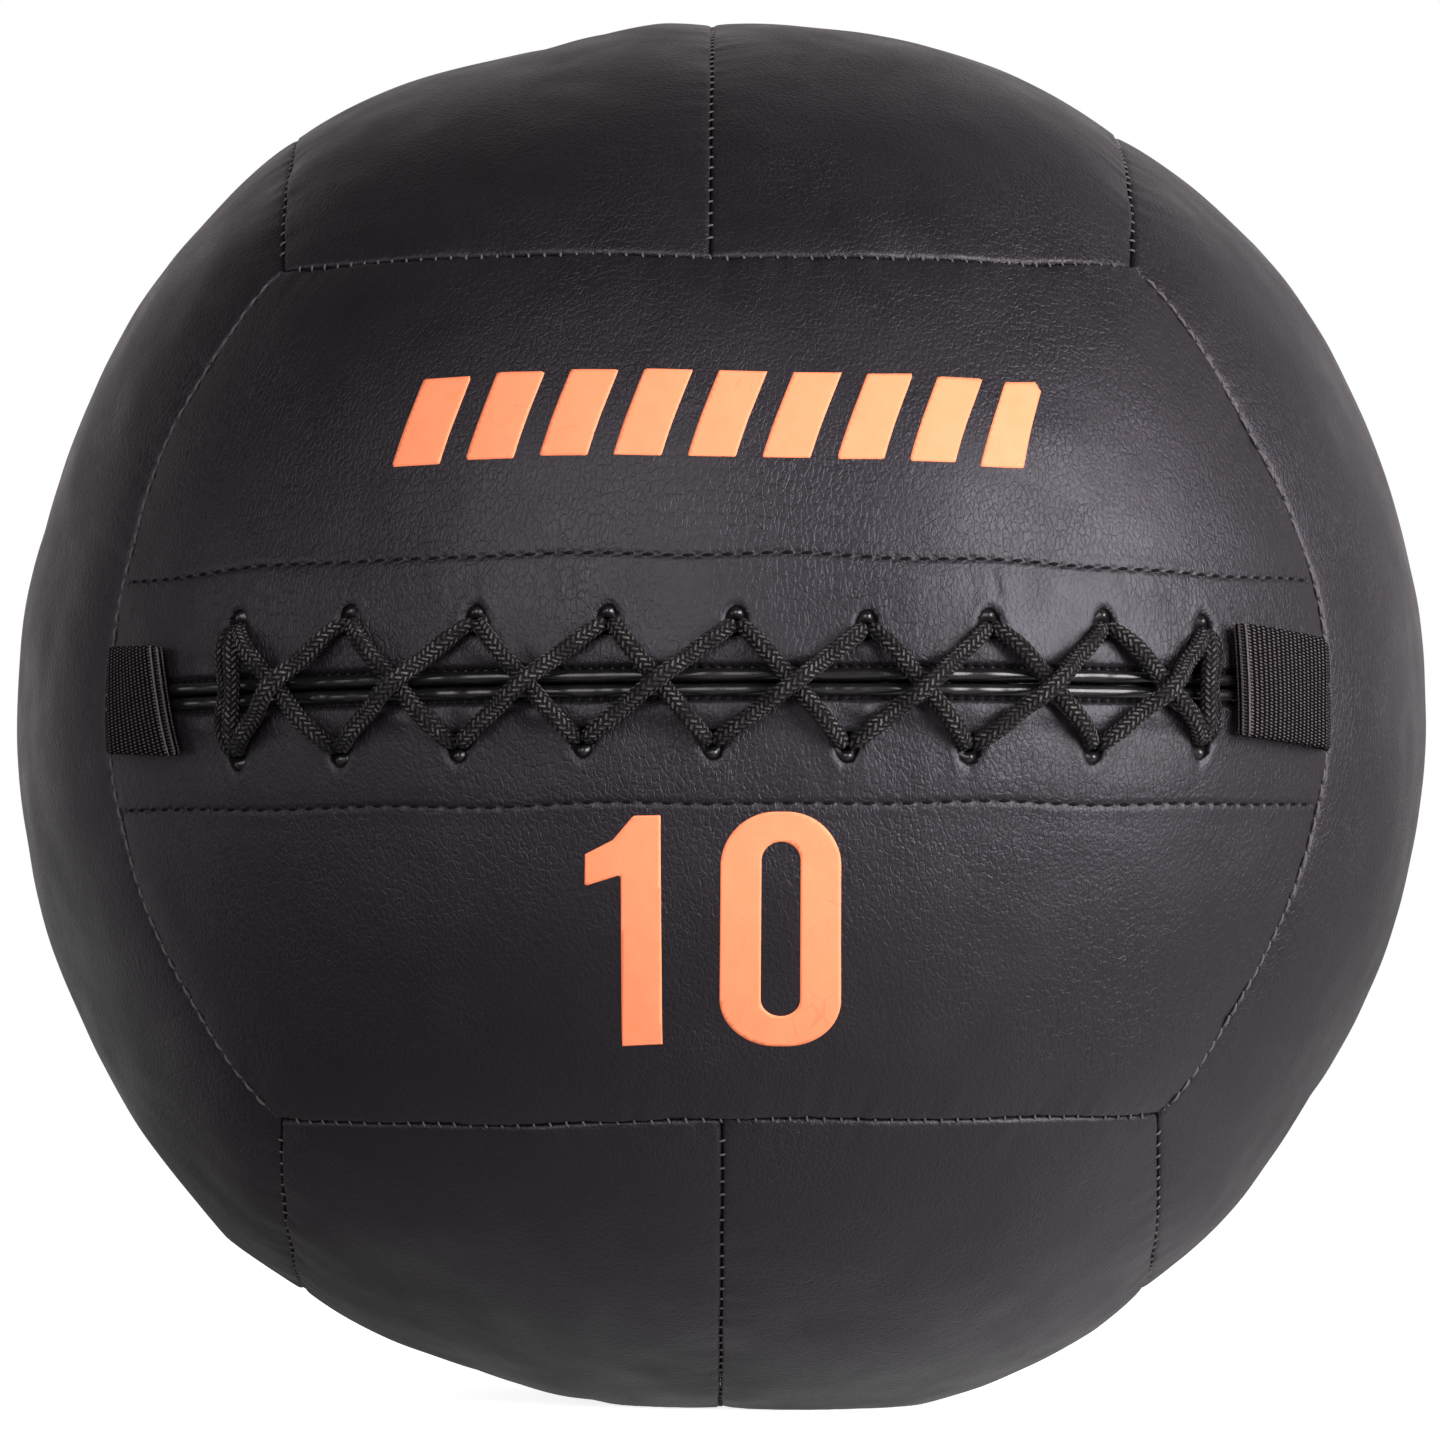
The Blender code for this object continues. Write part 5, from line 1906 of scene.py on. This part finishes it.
@dataclass
class WebbingTab:
    """A strap folded double, with both ends sewn into a side seam."""

    side: int
    ball: BallForm
    width: float = 0.0255
    thickness: float = 0.0012
    reach: float = 0.034
    under: float = 0.0013
    layer_gap: float = 0.0007
    fold_radius: float = 0.0014
    root_height: float = -0.0014
    neck: float = 0.008
    skew: float = 0.0
    end_rise: float = 0.0
    station: float = 0.0005
    width_cells: int = 30
    lean_in: Ramp = Ramp(0.0, 1.0)
    level_share: float = 0.3
    # How far the thin edge is rounded off
    edge_rounding: float = 0.75

    @property
    def name(self) -> str:
        """The piece's name."""
        return "left_webbing" if self.side < 0 else "right_webbing"

    def line(self) -> Array:
        """The strap's middle line as (distance from the seam, height), at even steps."""
        low = self.under + self.thickness / 2
        high = low + self.thickness + self.layer_gap
        fold_at = self.reach - self.fold_radius - self.thickness / 2
        centre = low + self.fold_radius
        root, radius = self.root_height, self.fold_radius
        lower = [(-0.0002, root - 0.0004), (0.002, root + 0.0002), (self.neck, low), (0.020, low)]
        bend = [
            (fold_at + radius * math.sin(turn), centre - radius * math.cos(turn))
            for turn in np.linspace(0, math.pi, 12)
        ]
        upper = [(0.026, centre + radius * 0.86), (0.016, high + 0.0002), (self.neck, high)]
        upper += [(0.0022, root + 0.0017), (-0.0002, root + 0.0009)]
        rough = np.array(lower + bend + upper)
        reached = reached_along(rough)
        places = np.linspace(0, reached[-1], round(reached[-1] / self.station))
        fine = np.stack([np.interp(places, reached, rough[:, axis]) for axis in (0, 1)], axis=1)
        for _ in range(3):
            fine[1:-1] = (fine[:-2] + 2 * fine[1:-1] + fine[2:]) / 4
        return fine

    def section(self) -> Array:
        """The strap's cross-section as (share of the half width, share of the half thickness)."""
        flat = np.linspace(-1, 1, self.width_cells)
        edge = 1 - (1 - np.abs(flat)) * (self.width / self.thickness)
        round_off = np.sqrt(1 - np.clip(edge, 0, 1) ** 2 * self.edge_rounding)
        face = np.stack([flat, round_off], axis=1)
        back = np.stack([flat[::-1], -round_off[::-1]], axis=1)
        return np.concatenate([face, back])

    def build(self) -> None:
        """Makes the strap and fixes it to its own body."""
        line = self.line()
        ways = np.gradient(line, axis=0)
        ways /= np.linalg.norm(ways, axis=1, keepdims=True)
        aside = np.stack([-ways[:, 1], ways[:, 0]], axis=1)
        section = self.section()
        across = section[:, 0] * self.width / 2
        offset = section[:, 1] * self.thickness / 2
        run = line[:, 0:1] + aside[:, 0:1] * offset[None, :]
        height = line[:, 1:2] + aside[:, 1:2] * offset[None, :]
        run = run + self.skew * across[None, :] * self.lean_in.over(line[:, 0:1] / self.reach)
        spread = across[None, :] + self.end_rise * (run / self.reach - self.level_share)
        angle = self.side * (SIDE_SEAM_ANGLE - run / self.ball.radius)
        along = (angle * self.ball.radius).ravel()
        points = self.ball.on_front(along, spread.ravel(), height.ravel())
        rows, sides = run.shape
        quads = tube_quads(rows, sides)
        if self.side > 0:
            quads = quads[..., ::-1]
        faces = quads.reshape(-1, 4).tolist()
        ends = [list(range(sides)), list(range((rows - 1) * sides, rows * sides))]
        faces += [ends[0][::-1], ends[1]] if self.side < 0 else [ends[0], ends[1][::-1]]
        piece = mesh_piece(self.name, points, faces, [WEBBING])
        mesh = bmesh.new()
        mesh.from_mesh(piece.data)
        bmesh.ops.recalc_face_normals(mesh, faces=mesh.faces)
        mesh.to_mesh(piece.data)
        mesh.free()
        step = (np.arange(rows) - line[:, 0].argmax()) * self.station / self.width
        corner_row, corner_side = np.divmod(
            np.array([loop.vertex_index for loop in piece.data.loops]), sides
        )
        places = np.stack([(section[corner_side, 0] + 1) / 2, step[corner_row]], axis=1)
        set_uv(piece, "weave", places)
        body = "tab_left" if self.side < 0 else "tab_right"
        settle(piece, body, WEBBING, "webbing_" + body)


class Outline:
    """A printed outline, whose places are (sideways, up) on the skin."""

    def outside(self, x: Array, y: Array) -> Array:
        """Distance outside the outline, negative inside it. Each outline has its own."""
        raise NotImplementedError


@dataclass(frozen=True)
class Bar(Outline):
    """A slanted bar with square ends."""

    low: Pair
    high: Pair
    half_width: float

    def outside(self, x: Array, y: Array) -> Array:
        """Distance outside the bar, negative inside it."""
        (low_x, low_y), (high_x, high_y) = self.low, self.high
        middle = low_x + (high_x - low_x) * ((y - low_y) / (high_y - low_y))
        lean = math.hypot(1, (high_x - low_x) / (high_y - low_y))
        aside = (np.abs(x - middle) - self.half_width) / lean
        return np.maximum(aside, np.maximum(low_y - y, y - high_y))


@dataclass(frozen=True)
class Flag(Outline):
    """A flag without a notch, as half planes through its corners in turn."""

    corners: tuple[Pair, ...]

    def outside(self, x: Array, y: Array) -> Array:
        """Distance outside the flag, negative inside it."""
        worst = np.full_like(x, -1.0)
        for (ax, ay), (bx, by) in zip(self.corners, self.corners[1:] + self.corners[:1]):
            length = math.hypot(bx - ax, by - ay)
            worst = np.maximum(worst, ((x - ax) * (by - ay) - (y - ay) * (bx - ax)) / length)
        return worst


@dataclass(frozen=True)
class Overlapping(Outline):
    """Outlines that overlap and print as one."""

    shapes: tuple[Outline, ...]

    def outside(self, x: Array, y: Array) -> Array:
        """Distance outside all of them, negative inside any."""
        return np.min([shape.outside(x, y) for shape in self.shapes], axis=0)


@dataclass(frozen=True)
class RoundedBox(Outline):
    """An upright box with rounded corners."""

    low: Pair
    high: Pair
    corner: float

    def outside(self, x: Array, y: Array) -> Array:
        """Distance outside the box, negative inside it."""
        (low_x, low_y), (high_x, high_y), corner = self.low, self.high, self.corner
        across = np.abs(x - (low_x + high_x) / 2) - (high_x - low_x) / 2 + corner
        up = np.abs(y - (low_y + high_y) / 2) - (high_y - low_y) / 2 + corner
        beyond = np.hypot(np.maximum(across, 0), np.maximum(up, 0))
        return beyond + np.minimum(np.maximum(across, up), 0) - corner


@dataclass(frozen=True)
class Ring(Outline):
    """A box with a hole."""

    box: RoundedBox
    hole: RoundedBox

    def outside(self, x: Array, y: Array) -> Array:
        """Distance outside the ring, negative inside it."""
        return np.maximum(self.box.outside(x, y), -self.hole.outside(x, y))


@dataclass
class PrintedMark:
    """A printed mark: a thin film whose outline is cut from a fine grid."""

    name: str
    panel: SkinPanel
    shapes: tuple[Outline, ...]
    cell: float = 0.0006
    film: float = 0.00011
    edge_depth: float = 0.0002
    # Where the grid starts and ends, sideways and up
    sideways: Pair = (-0.080, 0.0805)
    upwards: Pair = (-0.0940, 0.0805)

    def build(self) -> None:
        """Makes the film on its panel and fixes it to the ball."""
        flat, faces = joined([self.cut(shape) for shape in self.shapes])
        ball, side = self.panel.ball, self.panel.side
        latitude = side * flat[:, 1] / ball.radius
        longitude = np.arcsin(side * flat[:, 0] / (ball.radius * np.cos(latitude)))
        relief = self.panel.relief(longitude, latitude)
        height = relief + np.where(flat[:, 2] > 0.5, -self.edge_depth, self.film)
        points = ball.placed(self.panel.place, longitude, latitude, height)
        settle(mesh_piece(self.name, points, faces, [PRINT]), "ball", PRINT)

    def cut(self, shape: Outline) -> Shape:
        """One shape's grid, its edge drawn onto the outline and turned down.

        Args:
            shape: What gives the distance outside the outline.

        Returns:
            Points as (sideways, up, 1 if on the turned edge), and faces.
        """
        xs, ys = np.arange(*self.sideways, self.cell), np.arange(*self.upwards, self.cell)
        x, y = (grid.ravel() for grid in np.meshgrid(xs, ys))
        quads = grid_quads(np.arange(len(x)).reshape(len(ys), len(xs)))
        quads = quads[(shape.outside(x, y)[quads] < 0.5 * self.cell).all(axis=1)]
        edges = open_edges(quads)
        rim = np.unique(edges)
        tiny = 0.1 * self.cell
        for _ in range(4):
            here = shape.outside(x[rim], y[rim])
            slope_x = (shape.outside(x[rim] + tiny, y[rim]) - here) / tiny
            slope_y = (shape.outside(x[rim], y[rim] + tiny) - here) / tiny
            steep = np.maximum(slope_x**2 + slope_y**2, 0.25)
            x[rim] -= here * slope_x / steep
            y[rim] -= here * slope_y / steep
        fresh = np.full(len(x), -1)
        fresh[rim] = len(x) + np.arange(len(rim))
        flat = np.stack([x, y, np.zeros_like(x)], axis=1)
        flat = np.concatenate([flat, np.stack([x[rim], y[rim], np.ones(len(rim))], axis=1)])
        quads = np.concatenate([quads, walls_under(edges, fresh)])
        used = np.unique(quads)
        place = np.full(len(flat), -1)
        place[used] = np.arange(len(used))
        return flat[used], place[quads].tolist()


@dataclass
class Stuffing:
    """Foam pads, textile filling and the bagged weight, which the skin hides."""

    ball: BallForm
    pad_top: float = 0.0016
    pad_bottom: float = 0.0118
    pad_edge: float = 0.0022
    pad_cell: float = 0.005
    pad_rounding: float = 0.0016
    pad_rounding_reach: float = 0.004
    pad_unevenness: float = 0.0002
    filling_top: float = 0.0129
    front_start: float = 0.0285
    gap: float = 0.0003
    core_radius: float = 0.074
    bag_wall: float = 0.0012
    neck_radius: float = 0.012
    neck_height: float = 0.022
    tie_radius: float = 0.002
    tie_height_share: float = 0.45
    tie_braid: BraidedTube = BraidedTube(0.0009, 0.0001, 10)
    tie_braid_radius: float = 0.00095
    tie_turns: int = 2
    corners: int = 96
    # The neck's waist over shares of its height, and its folds
    waist: Swell = Swell(0.45, 0.16, 0.10)
    fold_count: int = 17
    fold_share: float = 0.06
    fold_reach: float = 0.012
    lump_height: float = 0.0009
    lump_length: float = 0.014
    granule_size: float = 0.004
    granule_depth: float = 0.0008
    crease_length: float = 0.016
    crease_depth: float = 0.0005
    heap_share: float = 0.955
    # The bag's mouth outwards: shares of the neck's radius, and depths under its top
    mouth: tuple[Pair, ...] = ((0.0, 0.004), (0.6, 0.002), (0.92, 0.0), (1.0, 0.001))

    def pad(self, place: PanelPlace) -> Shape:
        """A closed pad under one panel. The front pads stop short of the lining.

        Args:
            place: The panel.

        Returns:
            Its points and faces.
        """
        radius, cell = self.ball.radius, self.pad_cell
        low = self.front_start if place.is_front else self.pad_edge
        high = radius * SEAM_LATITUDE - self.pad_edge
        rows = round((high - low) / cell) + 1
        columns = round(2 * SIDE_SEAM_ANGLE * radius / cell) + 1
        latitude = np.linspace(low, high, rows) / radius
        kept = SEAM_SHARE + self.pad_edge / radius
        reach = np.arccos(np.minimum(1, kept / np.cos(latitude)))
        longitude = (reach[:, None] * np.linspace(-1, 1, columns)[None, :]).ravel()
        latitude = np.repeat(latitude, columns)
        number = np.arange(rows * columns).reshape(rows, columns)
        row, column = np.divmod(number.ravel(), columns)
        edge = np.min([row, rows - 1 - row, column, columns - 1 - column], axis=0) * cell
        uneven = Ripple(0.02, place.seed).at(directions(longitude, latitude) * radius)
        rounded = self.pad_rounding * np.exp(-edge / self.pad_rounding_reach)
        height = -self.pad_top - rounded + self.pad_unevenness * uneven
        outer = self.ball.placed(place, longitude, latitude, height)
        inner = self.ball.placed(place, longitude, latitude, np.full_like(height, -self.pad_bottom))
        quads = grid_quads(number)
        sides = [number[0, :-1], number[:-1, -1], number[-1, :0:-1], number[:0:-1, 0]]
        before = np.concatenate(sides)
        edges = np.stack([before, np.roll(before, -1)], axis=1)
        walls = walls_under(edges, np.arange(number.size) + number.size)
        faces = np.concatenate([quads, quads[:, ::-1] + number.size, walls]).tolist()
        return np.concatenate([outer, inner]), faces

    def build_pads(self) -> None:
        """A foam pad behind each panel."""
        for place in PanelPlace:
            piece = mesh_piece(f"{place.name}_foam", *self.pad(place), [FOAM])
            settle(piece, "ball", FOAM, f"{place.name}_pad")

    @property
    def bag_radius(self) -> float:
        """Outer radius of the bagged weight."""
        return self.core_radius + self.gap + self.bag_wall

    @property
    def shoulder(self) -> float:
        """Height over the centre at which the bag's neck starts."""
        return math.sqrt(self.bag_radius**2 - self.neck_radius**2)

    def turned(self, name: str, rows: list[Array], finish: Finish) -> bpy.types.Object:
        """A closed piece from rings of points between two poles.

        Args:
            name: The piece's name.
            rows: First the top pole, then rings of shape (n, 3), then the bottom pole.
            finish: Its finish.

        Returns:
            The piece, its faces outwards.
        """
        size = len(rows[1])
        rings, here = len(rows) - 2, np.arange(size)
        after = (here + 1) % size
        faces = [[0, 1 + a, 1 + b] for a, b in zip(here, after)]
        faces += (1 + tube_quads(rings, size)[..., [0, 3, 2, 1]]).reshape(-1, 4).tolist()
        last, start = 1 + rings * size, 1 + (rings - 1) * size
        faces += [[start + a, last, start + b] for a, b in zip(here, after)]
        return mesh_piece(name, np.concatenate(rows), faces, [finish])

    def turns(self) -> Array:
        """Turns of the corners of one ring."""
        return np.linspace(0, 2 * math.pi, self.corners, endpoint=False)

    def rings(self, profile: list[Pair], waves: Ripple, depth: float) -> list[Array]:
        """Rings about the centre from (radius, height) pairs, unevenly dented."""
        rows = []
        for radius, height in profile:
            turn = self.turns() if radius else np.zeros(1)
            around = [radius * np.cos(turn), radius * np.sin(turn), np.full_like(turn, height)]
            ring = np.stack(around, axis=1)
            dent = depth * (np.abs(waves.at(ring)) + 0.2)
            rows.append(self.ball.centre + ring * (1 - dent / self.core_radius)[:, None])
        return rows

    @staticmethod
    def globe(radius: float, first_deg: float, last_deg: float, steps: int) -> list[Pair]:
        """(radius, height) pairs along a globe's outside, by latitude."""
        turns = np.radians(np.linspace(first_deg, last_deg, steps))
        return [(abs(radius * math.cos(turn)), radius * math.sin(turn)) for turn in turns]

    def build_core(self) -> None:
        """Granules in a canvas bag, whose gathered neck is tied."""
        ballast = [(0.0, self.core_radius * self.heap_share)]
        ballast += self.globe(self.core_radius, 72.0, -86.0, 60) + [(0.0, -self.core_radius)]
        rows = self.rings(ballast, Ripple(self.granule_size, 301), self.granule_depth)
        piece = self.turned("core_granules", rows, GRANULES)
        settle(piece, "ball", GRANULES, "core_ballast")
        radius, neck = self.bag_radius, self.neck_radius
        first = math.degrees(math.asin(self.shoulder / radius))
        top = self.shoulder + self.neck_height
        mouth = [(share * neck, top - drop) for share, drop in self.mouth]
        stem = [
            (neck * (1 - self.waist.over(share)), self.shoulder + share * self.neck_height)
            for share in np.linspace(0.85, 0.02, 14)
        ]
        profile = mouth + stem + self.globe(radius, first, -86.0, 50) + [(0.0, -radius)]
        rows = self.rings(profile, Ripple(self.crease_length, 311), self.crease_depth)
        for row in rows[1:-1]:
            offset = row - self.ball.centre
            turn = np.arctan2(offset[:, 1], offset[:, 0])
            below = max(0.0, self.shoulder - offset[:, 2].mean())
            share = self.fold_share * math.exp(-below / self.fold_reach)
            folds = share * (1 + np.cos(self.fold_count * turn)) / 2
            row[:, :2] -= offset[:, :2] * folds[:, None]
        piece = self.turned("core_canvas_bag", rows, CANVAS)
        settle(piece, "ball", CANVAS, "core_bag")

    def build_tie(self) -> None:
        """The cord that is wound round the bag's neck."""
        whole = 2 * math.pi * self.tie_turns
        turn = np.linspace(0, whole, 210 * self.tie_turns)
        ring = self.neck_radius + self.gap + self.tie_radius
        height = self.shoulder + self.tie_height_share * self.neck_height
        rise = np.interp(turn, (0, whole), (-self.tie_radius / 2, self.tie_radius / 2))
        line = np.stack([ring * np.cos(turn), ring * np.sin(turn), height + rise], axis=1)
        radii = np.full(len(line), self.tie_braid_radius)
        tie = self.tie_braid.along("core_tie_cord", self.ball.centre + line, radii)
        settle(tie, "ball", CORD, "core_bag_tie")

    def build_filling(self) -> None:
        """Packed textile round the bagged weight, in two halves."""
        room = self.bag_radius + self.gap
        neck = self.neck_radius + 2 * (self.gap + self.tie_radius)
        start = math.degrees(math.acos(neck / room))
        top = self.shoulder + self.neck_height + self.gap
        centre, turn = self.ball.centre, self.turns()
        for side, name in ((1, "upper"), (-1, "lower")):
            outer = []
            for latitude in side * np.radians(np.linspace(89.9, 0.03, 56)):
                ways = directions(turn, np.full_like(turn, latitude))
                uneven = np.abs(Ripple(self.lump_length, 321).at(ways * self.ball.radius))
                lumps = self.lump_height * np.maximum(uneven - 0.4, 0)
                reach = self.ball.radius_at(ways) - self.filling_top - lumps
                ring = centre + ways * reach[:, None]
                ring[:, 2] = np.maximum(ring[:, 2], self.filling_top)
                outer.append(ring)
            pole = outer[0].mean(axis=0, keepdims=True)
            inner = [
                centre + room * directions(turn, np.full_like(turn, latitude))
                for latitude in side * np.radians(np.linspace(0.2, start if side > 0 else 89.0, 30))
            ]
            if side > 0:
                lifted = inner[-1].copy()
                lifted[:, 2] = centre[2] + top
                inner.append(lifted)
            end = centre + np.array([[0, 0, top if side > 0 else -room]])
            piece = self.turned(f"{name}_textile", [pole, *outer, *inner, end], TEXTILE)
            if side < 0:
                piece.data.flip_normals()
            settle(piece, "ball", TEXTILE, f"filling_{name}")


@dataclass
class Studio:
    """Pale floor, soft light and the camera."""

    ball: BallForm
    distance: float = 1.780
    elevation_deg: float = -2.6
    roll_deg: float = 0.45
    lens: float = 173.4
    shift: Pair = (0.00065, 0.0015)
    floor_radius: float = 9.0
    floor_shades: Pair = (0.93, 0.96)
    floor_bounce: Colour = (0.16, 0.15, 0.155)
    floor_glow: float = 0.85
    # How strongly the floor shines on the ball: from and to places, then the strengths there
    before_rise: Four = (-0.19, 0.14, 0.0, 0.86)
    before_fall: Four = (0.2, 0.45, 1.0, 0.3)
    before_depth: Four = (-0.30, -0.08, 0.45, 1.15)
    after_rise: Four = (-0.15, 0.15, 0.17, 0.38)
    after_left: Four = (-0.32, -0.18, 0.45, 0.0)
    behind: Four = (-0.08, 0.08, 0.0, 1.0)
    brightest_way: Three = (0.20, 0.95, -0.32)
    sky_strength: Four = (0.0, 0.8, 0.05, 0.92)
    sky_colour: Colour = (1.0, 0.93, 0.955)
    light_colour: Colour = (1.0, 0.96, 0.985)
    # Each light's place from the ball's centre, its size and its power
    lights: dict[str, tuple[Three, float, float]] = field(
        default_factory=lambda: {
            "key": ((1.18, -0.86, 0.36), 1.05, 58.0),
            "front": ((-0.45, -1.45, 0.55), 1.2, 22.0),
            "left": ((-1.30, -0.47, 0.05), 0.80, 4.0),
        }
    )

    def build(self) -> None:
        """Makes the floor, the lights, the surroundings and the camera."""
        self.add_floor()
        self.add_surroundings()
        for name, (place, size, power) in self.lights.items():
            self.add_light(name, place, size, power)
        self.add_camera()
        bpy.context.scene.view_settings.view_transform = "Standard"

    def add_floor(self) -> None:
        """A wide pale floor under the ball, which lights it unevenly from below."""
        bpy.ops.object.select_all(action="DESELECT")
        bpy.ops.mesh.primitive_circle_add(
            vertices=64, radius=self.floor_radius, fill_type="NGON", location=(0, 0, 0)
        )
        floor = bpy.context.object
        floor.name = "floor"
        tree = MaterialTree("pale_floor")
        where = tree.surface_place()
        low, high = self.floor_shades
        shade = tree.blend(tree.noise(where, 4.0, 2.0), rgba((low,) * 3), rgba((high,) * 3))
        seen = tree.add("LightPath").outputs["Is Camera Ray"]
        split = tree.add("SeparateXYZ", None, Vector=where).outputs
        before = tree.ranged(split["X"], *self.before_rise)
        before = tree.times(before, tree.ranged(split["X"], *self.before_fall))
        before = tree.times(before, tree.ranged(split["Y"], *self.before_depth))
        after = tree.ranged(split["X"], *self.after_rise)
        after = tree.math("MAXIMUM", after, tree.ranged(split["X"], *self.after_left))
        behind = tree.ranged(split["Y"], *self.behind)
        mirrored = tree.mixed(behind, before, after)
        strength = tree.math("MAXIMUM", mirrored, tree.times(seen, self.floor_glow))
        shade = tree.blend(seen, rgba(self.floor_bounce), shade)
        made = tree.finish(
            Base_Color=shade,
            Roughness=0.9,
            Emission_Color=rgba((1, 1, 1)),
            Emission_Strength=strength,
        )
        floor.data.materials.append(made)

    def add_surroundings(self) -> None:
        """White surroundings that light the ball less from the front left."""
        world = bpy.data.worlds.new("studio")
        bpy.context.scene.world = world
        tree = NodeTree(world)
        plain = tree.tree.nodes["Background"]
        tree.give(plain.inputs["Color"], rgba((1, 1, 1)))
        tree.give(plain.inputs["Strength"], 1.0)
        where = tree.add("TexCoord").outputs["Generated"]
        lean = tree.add(
            "VectorMath", {"operation": "DOT_PRODUCT"}, in0=where, in1=self.brightest_way
        )
        strength = tree.ranged(lean.outputs["Value"], *self.sky_strength)
        soft = tree.add("Background", None, Color=rgba(self.sky_colour), Strength=strength)
        seen = tree.add("LightPath").outputs["Is Camera Ray"]
        mix = tree.add("MixShader", None, Fac=seen, in1=soft.outputs[0], in2=plain.outputs[0])
        tree.give(tree.tree.nodes["World Output"].inputs["Surface"], mix.outputs[0])

    def add_light(self, name: str, place: Three, size: float, power: float) -> None:
        """Adds a soft panel light that looks at the ball.

        Args:
            name: The light's name.
            place: Where it is, from the ball's centre.
            size: Length of its sides.
            power: Its power in watts.
        """
        data = bpy.data.lights.new(name, "AREA")
        data.energy = power
        data.size = size
        data.color = self.light_colour
        light = bpy.data.objects.new(name, data)
        centre = Vector(self.ball.centre)
        light.location = centre + Vector(place)
        light.rotation_euler = (centre - light.location).to_track_quat("-Z", "Y").to_euler()
        bpy.context.scene.collection.objects.link(light)

    def add_camera(self) -> None:
        """The camera in front, a little below the ball's middle."""
        data = bpy.data.cameras.new("camera")
        data.lens = self.lens
        data.sensor_width = 36.0
        data.shift_x, data.shift_y = self.shift
        data.clip_start = 0.05
        camera = bpy.data.objects.new("camera", data)
        lean = math.radians(self.elevation_deg)
        away = Vector((0, -math.cos(lean), math.sin(lean))) * self.distance
        centre = Vector(self.ball.centre)
        camera.location = centre + away
        turn = (-away).to_track_quat("-Z", "Y").to_matrix()
        roll = Matrix.Rotation(math.radians(self.roll_deg), 3, "Z")
        camera.rotation_euler = (turn @ roll).to_euler()
        bpy.context.scene.collection.objects.link(camera)
        bpy.context.scene.camera = camera


def weight_number() -> tuple[Outline, ...]:
    """Outlines of the two figures on the lower panel."""
    stem = Bar((-0.0170, -0.0883), (-0.0179, -0.0350), 0.0046)
    flag = Flag(((-0.0306, -0.0394), (-0.0306, -0.0470), (-0.0200, -0.0436), (-0.0200, -0.0340)))
    top = [(-0.0243, -0.0362), (-0.0243, -0.0440), (-0.0133, -0.0440)]
    top += [(-0.0133, -0.0306), (-0.0196, -0.0306)]
    box = RoundedBox((0.0006, -0.0893), (0.0283, -0.0299), 0.0126)
    hole = RoundedBox((0.0100, -0.0814), (0.0190, -0.0368), 0.0045)
    return (Overlapping((stem, flag, Flag(tuple(top)))), Ring(box, hole))


def slanted_bars() -> tuple[Outline, ...]:
    """Outlines of the row of plain bars on the upper panel."""
    pitch, first, slant, sag = 0.0173, 0.0042, 0.0038, 0.00010
    bars = []
    for index in range(-4, 5):
        middle, rise = first + pitch * index, -sag * index * index
        low, high = (middle - slant, 0.0532 + rise), (middle + slant, 0.0752 + rise)
        bars.append(Bar(low, high, 0.0056))
    return tuple(bars)


def main() -> None:
    """Builds the ball's looks in order, from the skin to the studio."""
    logging.basicConfig(level=logging.INFO, format="%(message)s")
    ball, plan = BallForm(), LacingPlan()
    Studio(ball).build()
    panels: dict[PanelPlace, SkinPanel] = {}
    for place in PanelPlace:
        laced = place.is_front
        panels[place] = LacedPanel(place, ball, plan=plan) if laced else SkinPanel(place, ball)
        panels[place].build()
    for side in (1, -1):
        LaceFacing(ball, plan=plan, side=side).build()
    SlitTongue(ball).build()
    Lace(ball, plan).build()
    Sewing(ball, plan).build(panels)
    WebbingTab(-1, ball, reach=0.0305, skew=-0.25, end_rise=-0.0014).build()
    WebbingTab(1, ball, reach=0.0400, skew=0.05, end_rise=0.0026).build()
    PrintedMark("weight_number", panels[PanelPlace.front_lower], weight_number()).build()
    PrintedMark("printed_bars", panels[PanelPlace.front_upper], slanted_bars()).build()
    stuffing = Stuffing(ball)
    stuffing.build_pads()
    stuffing.build_filling()
    stuffing.build_core()
    stuffing.build_tie()


if __name__ == "__main__":
    main()
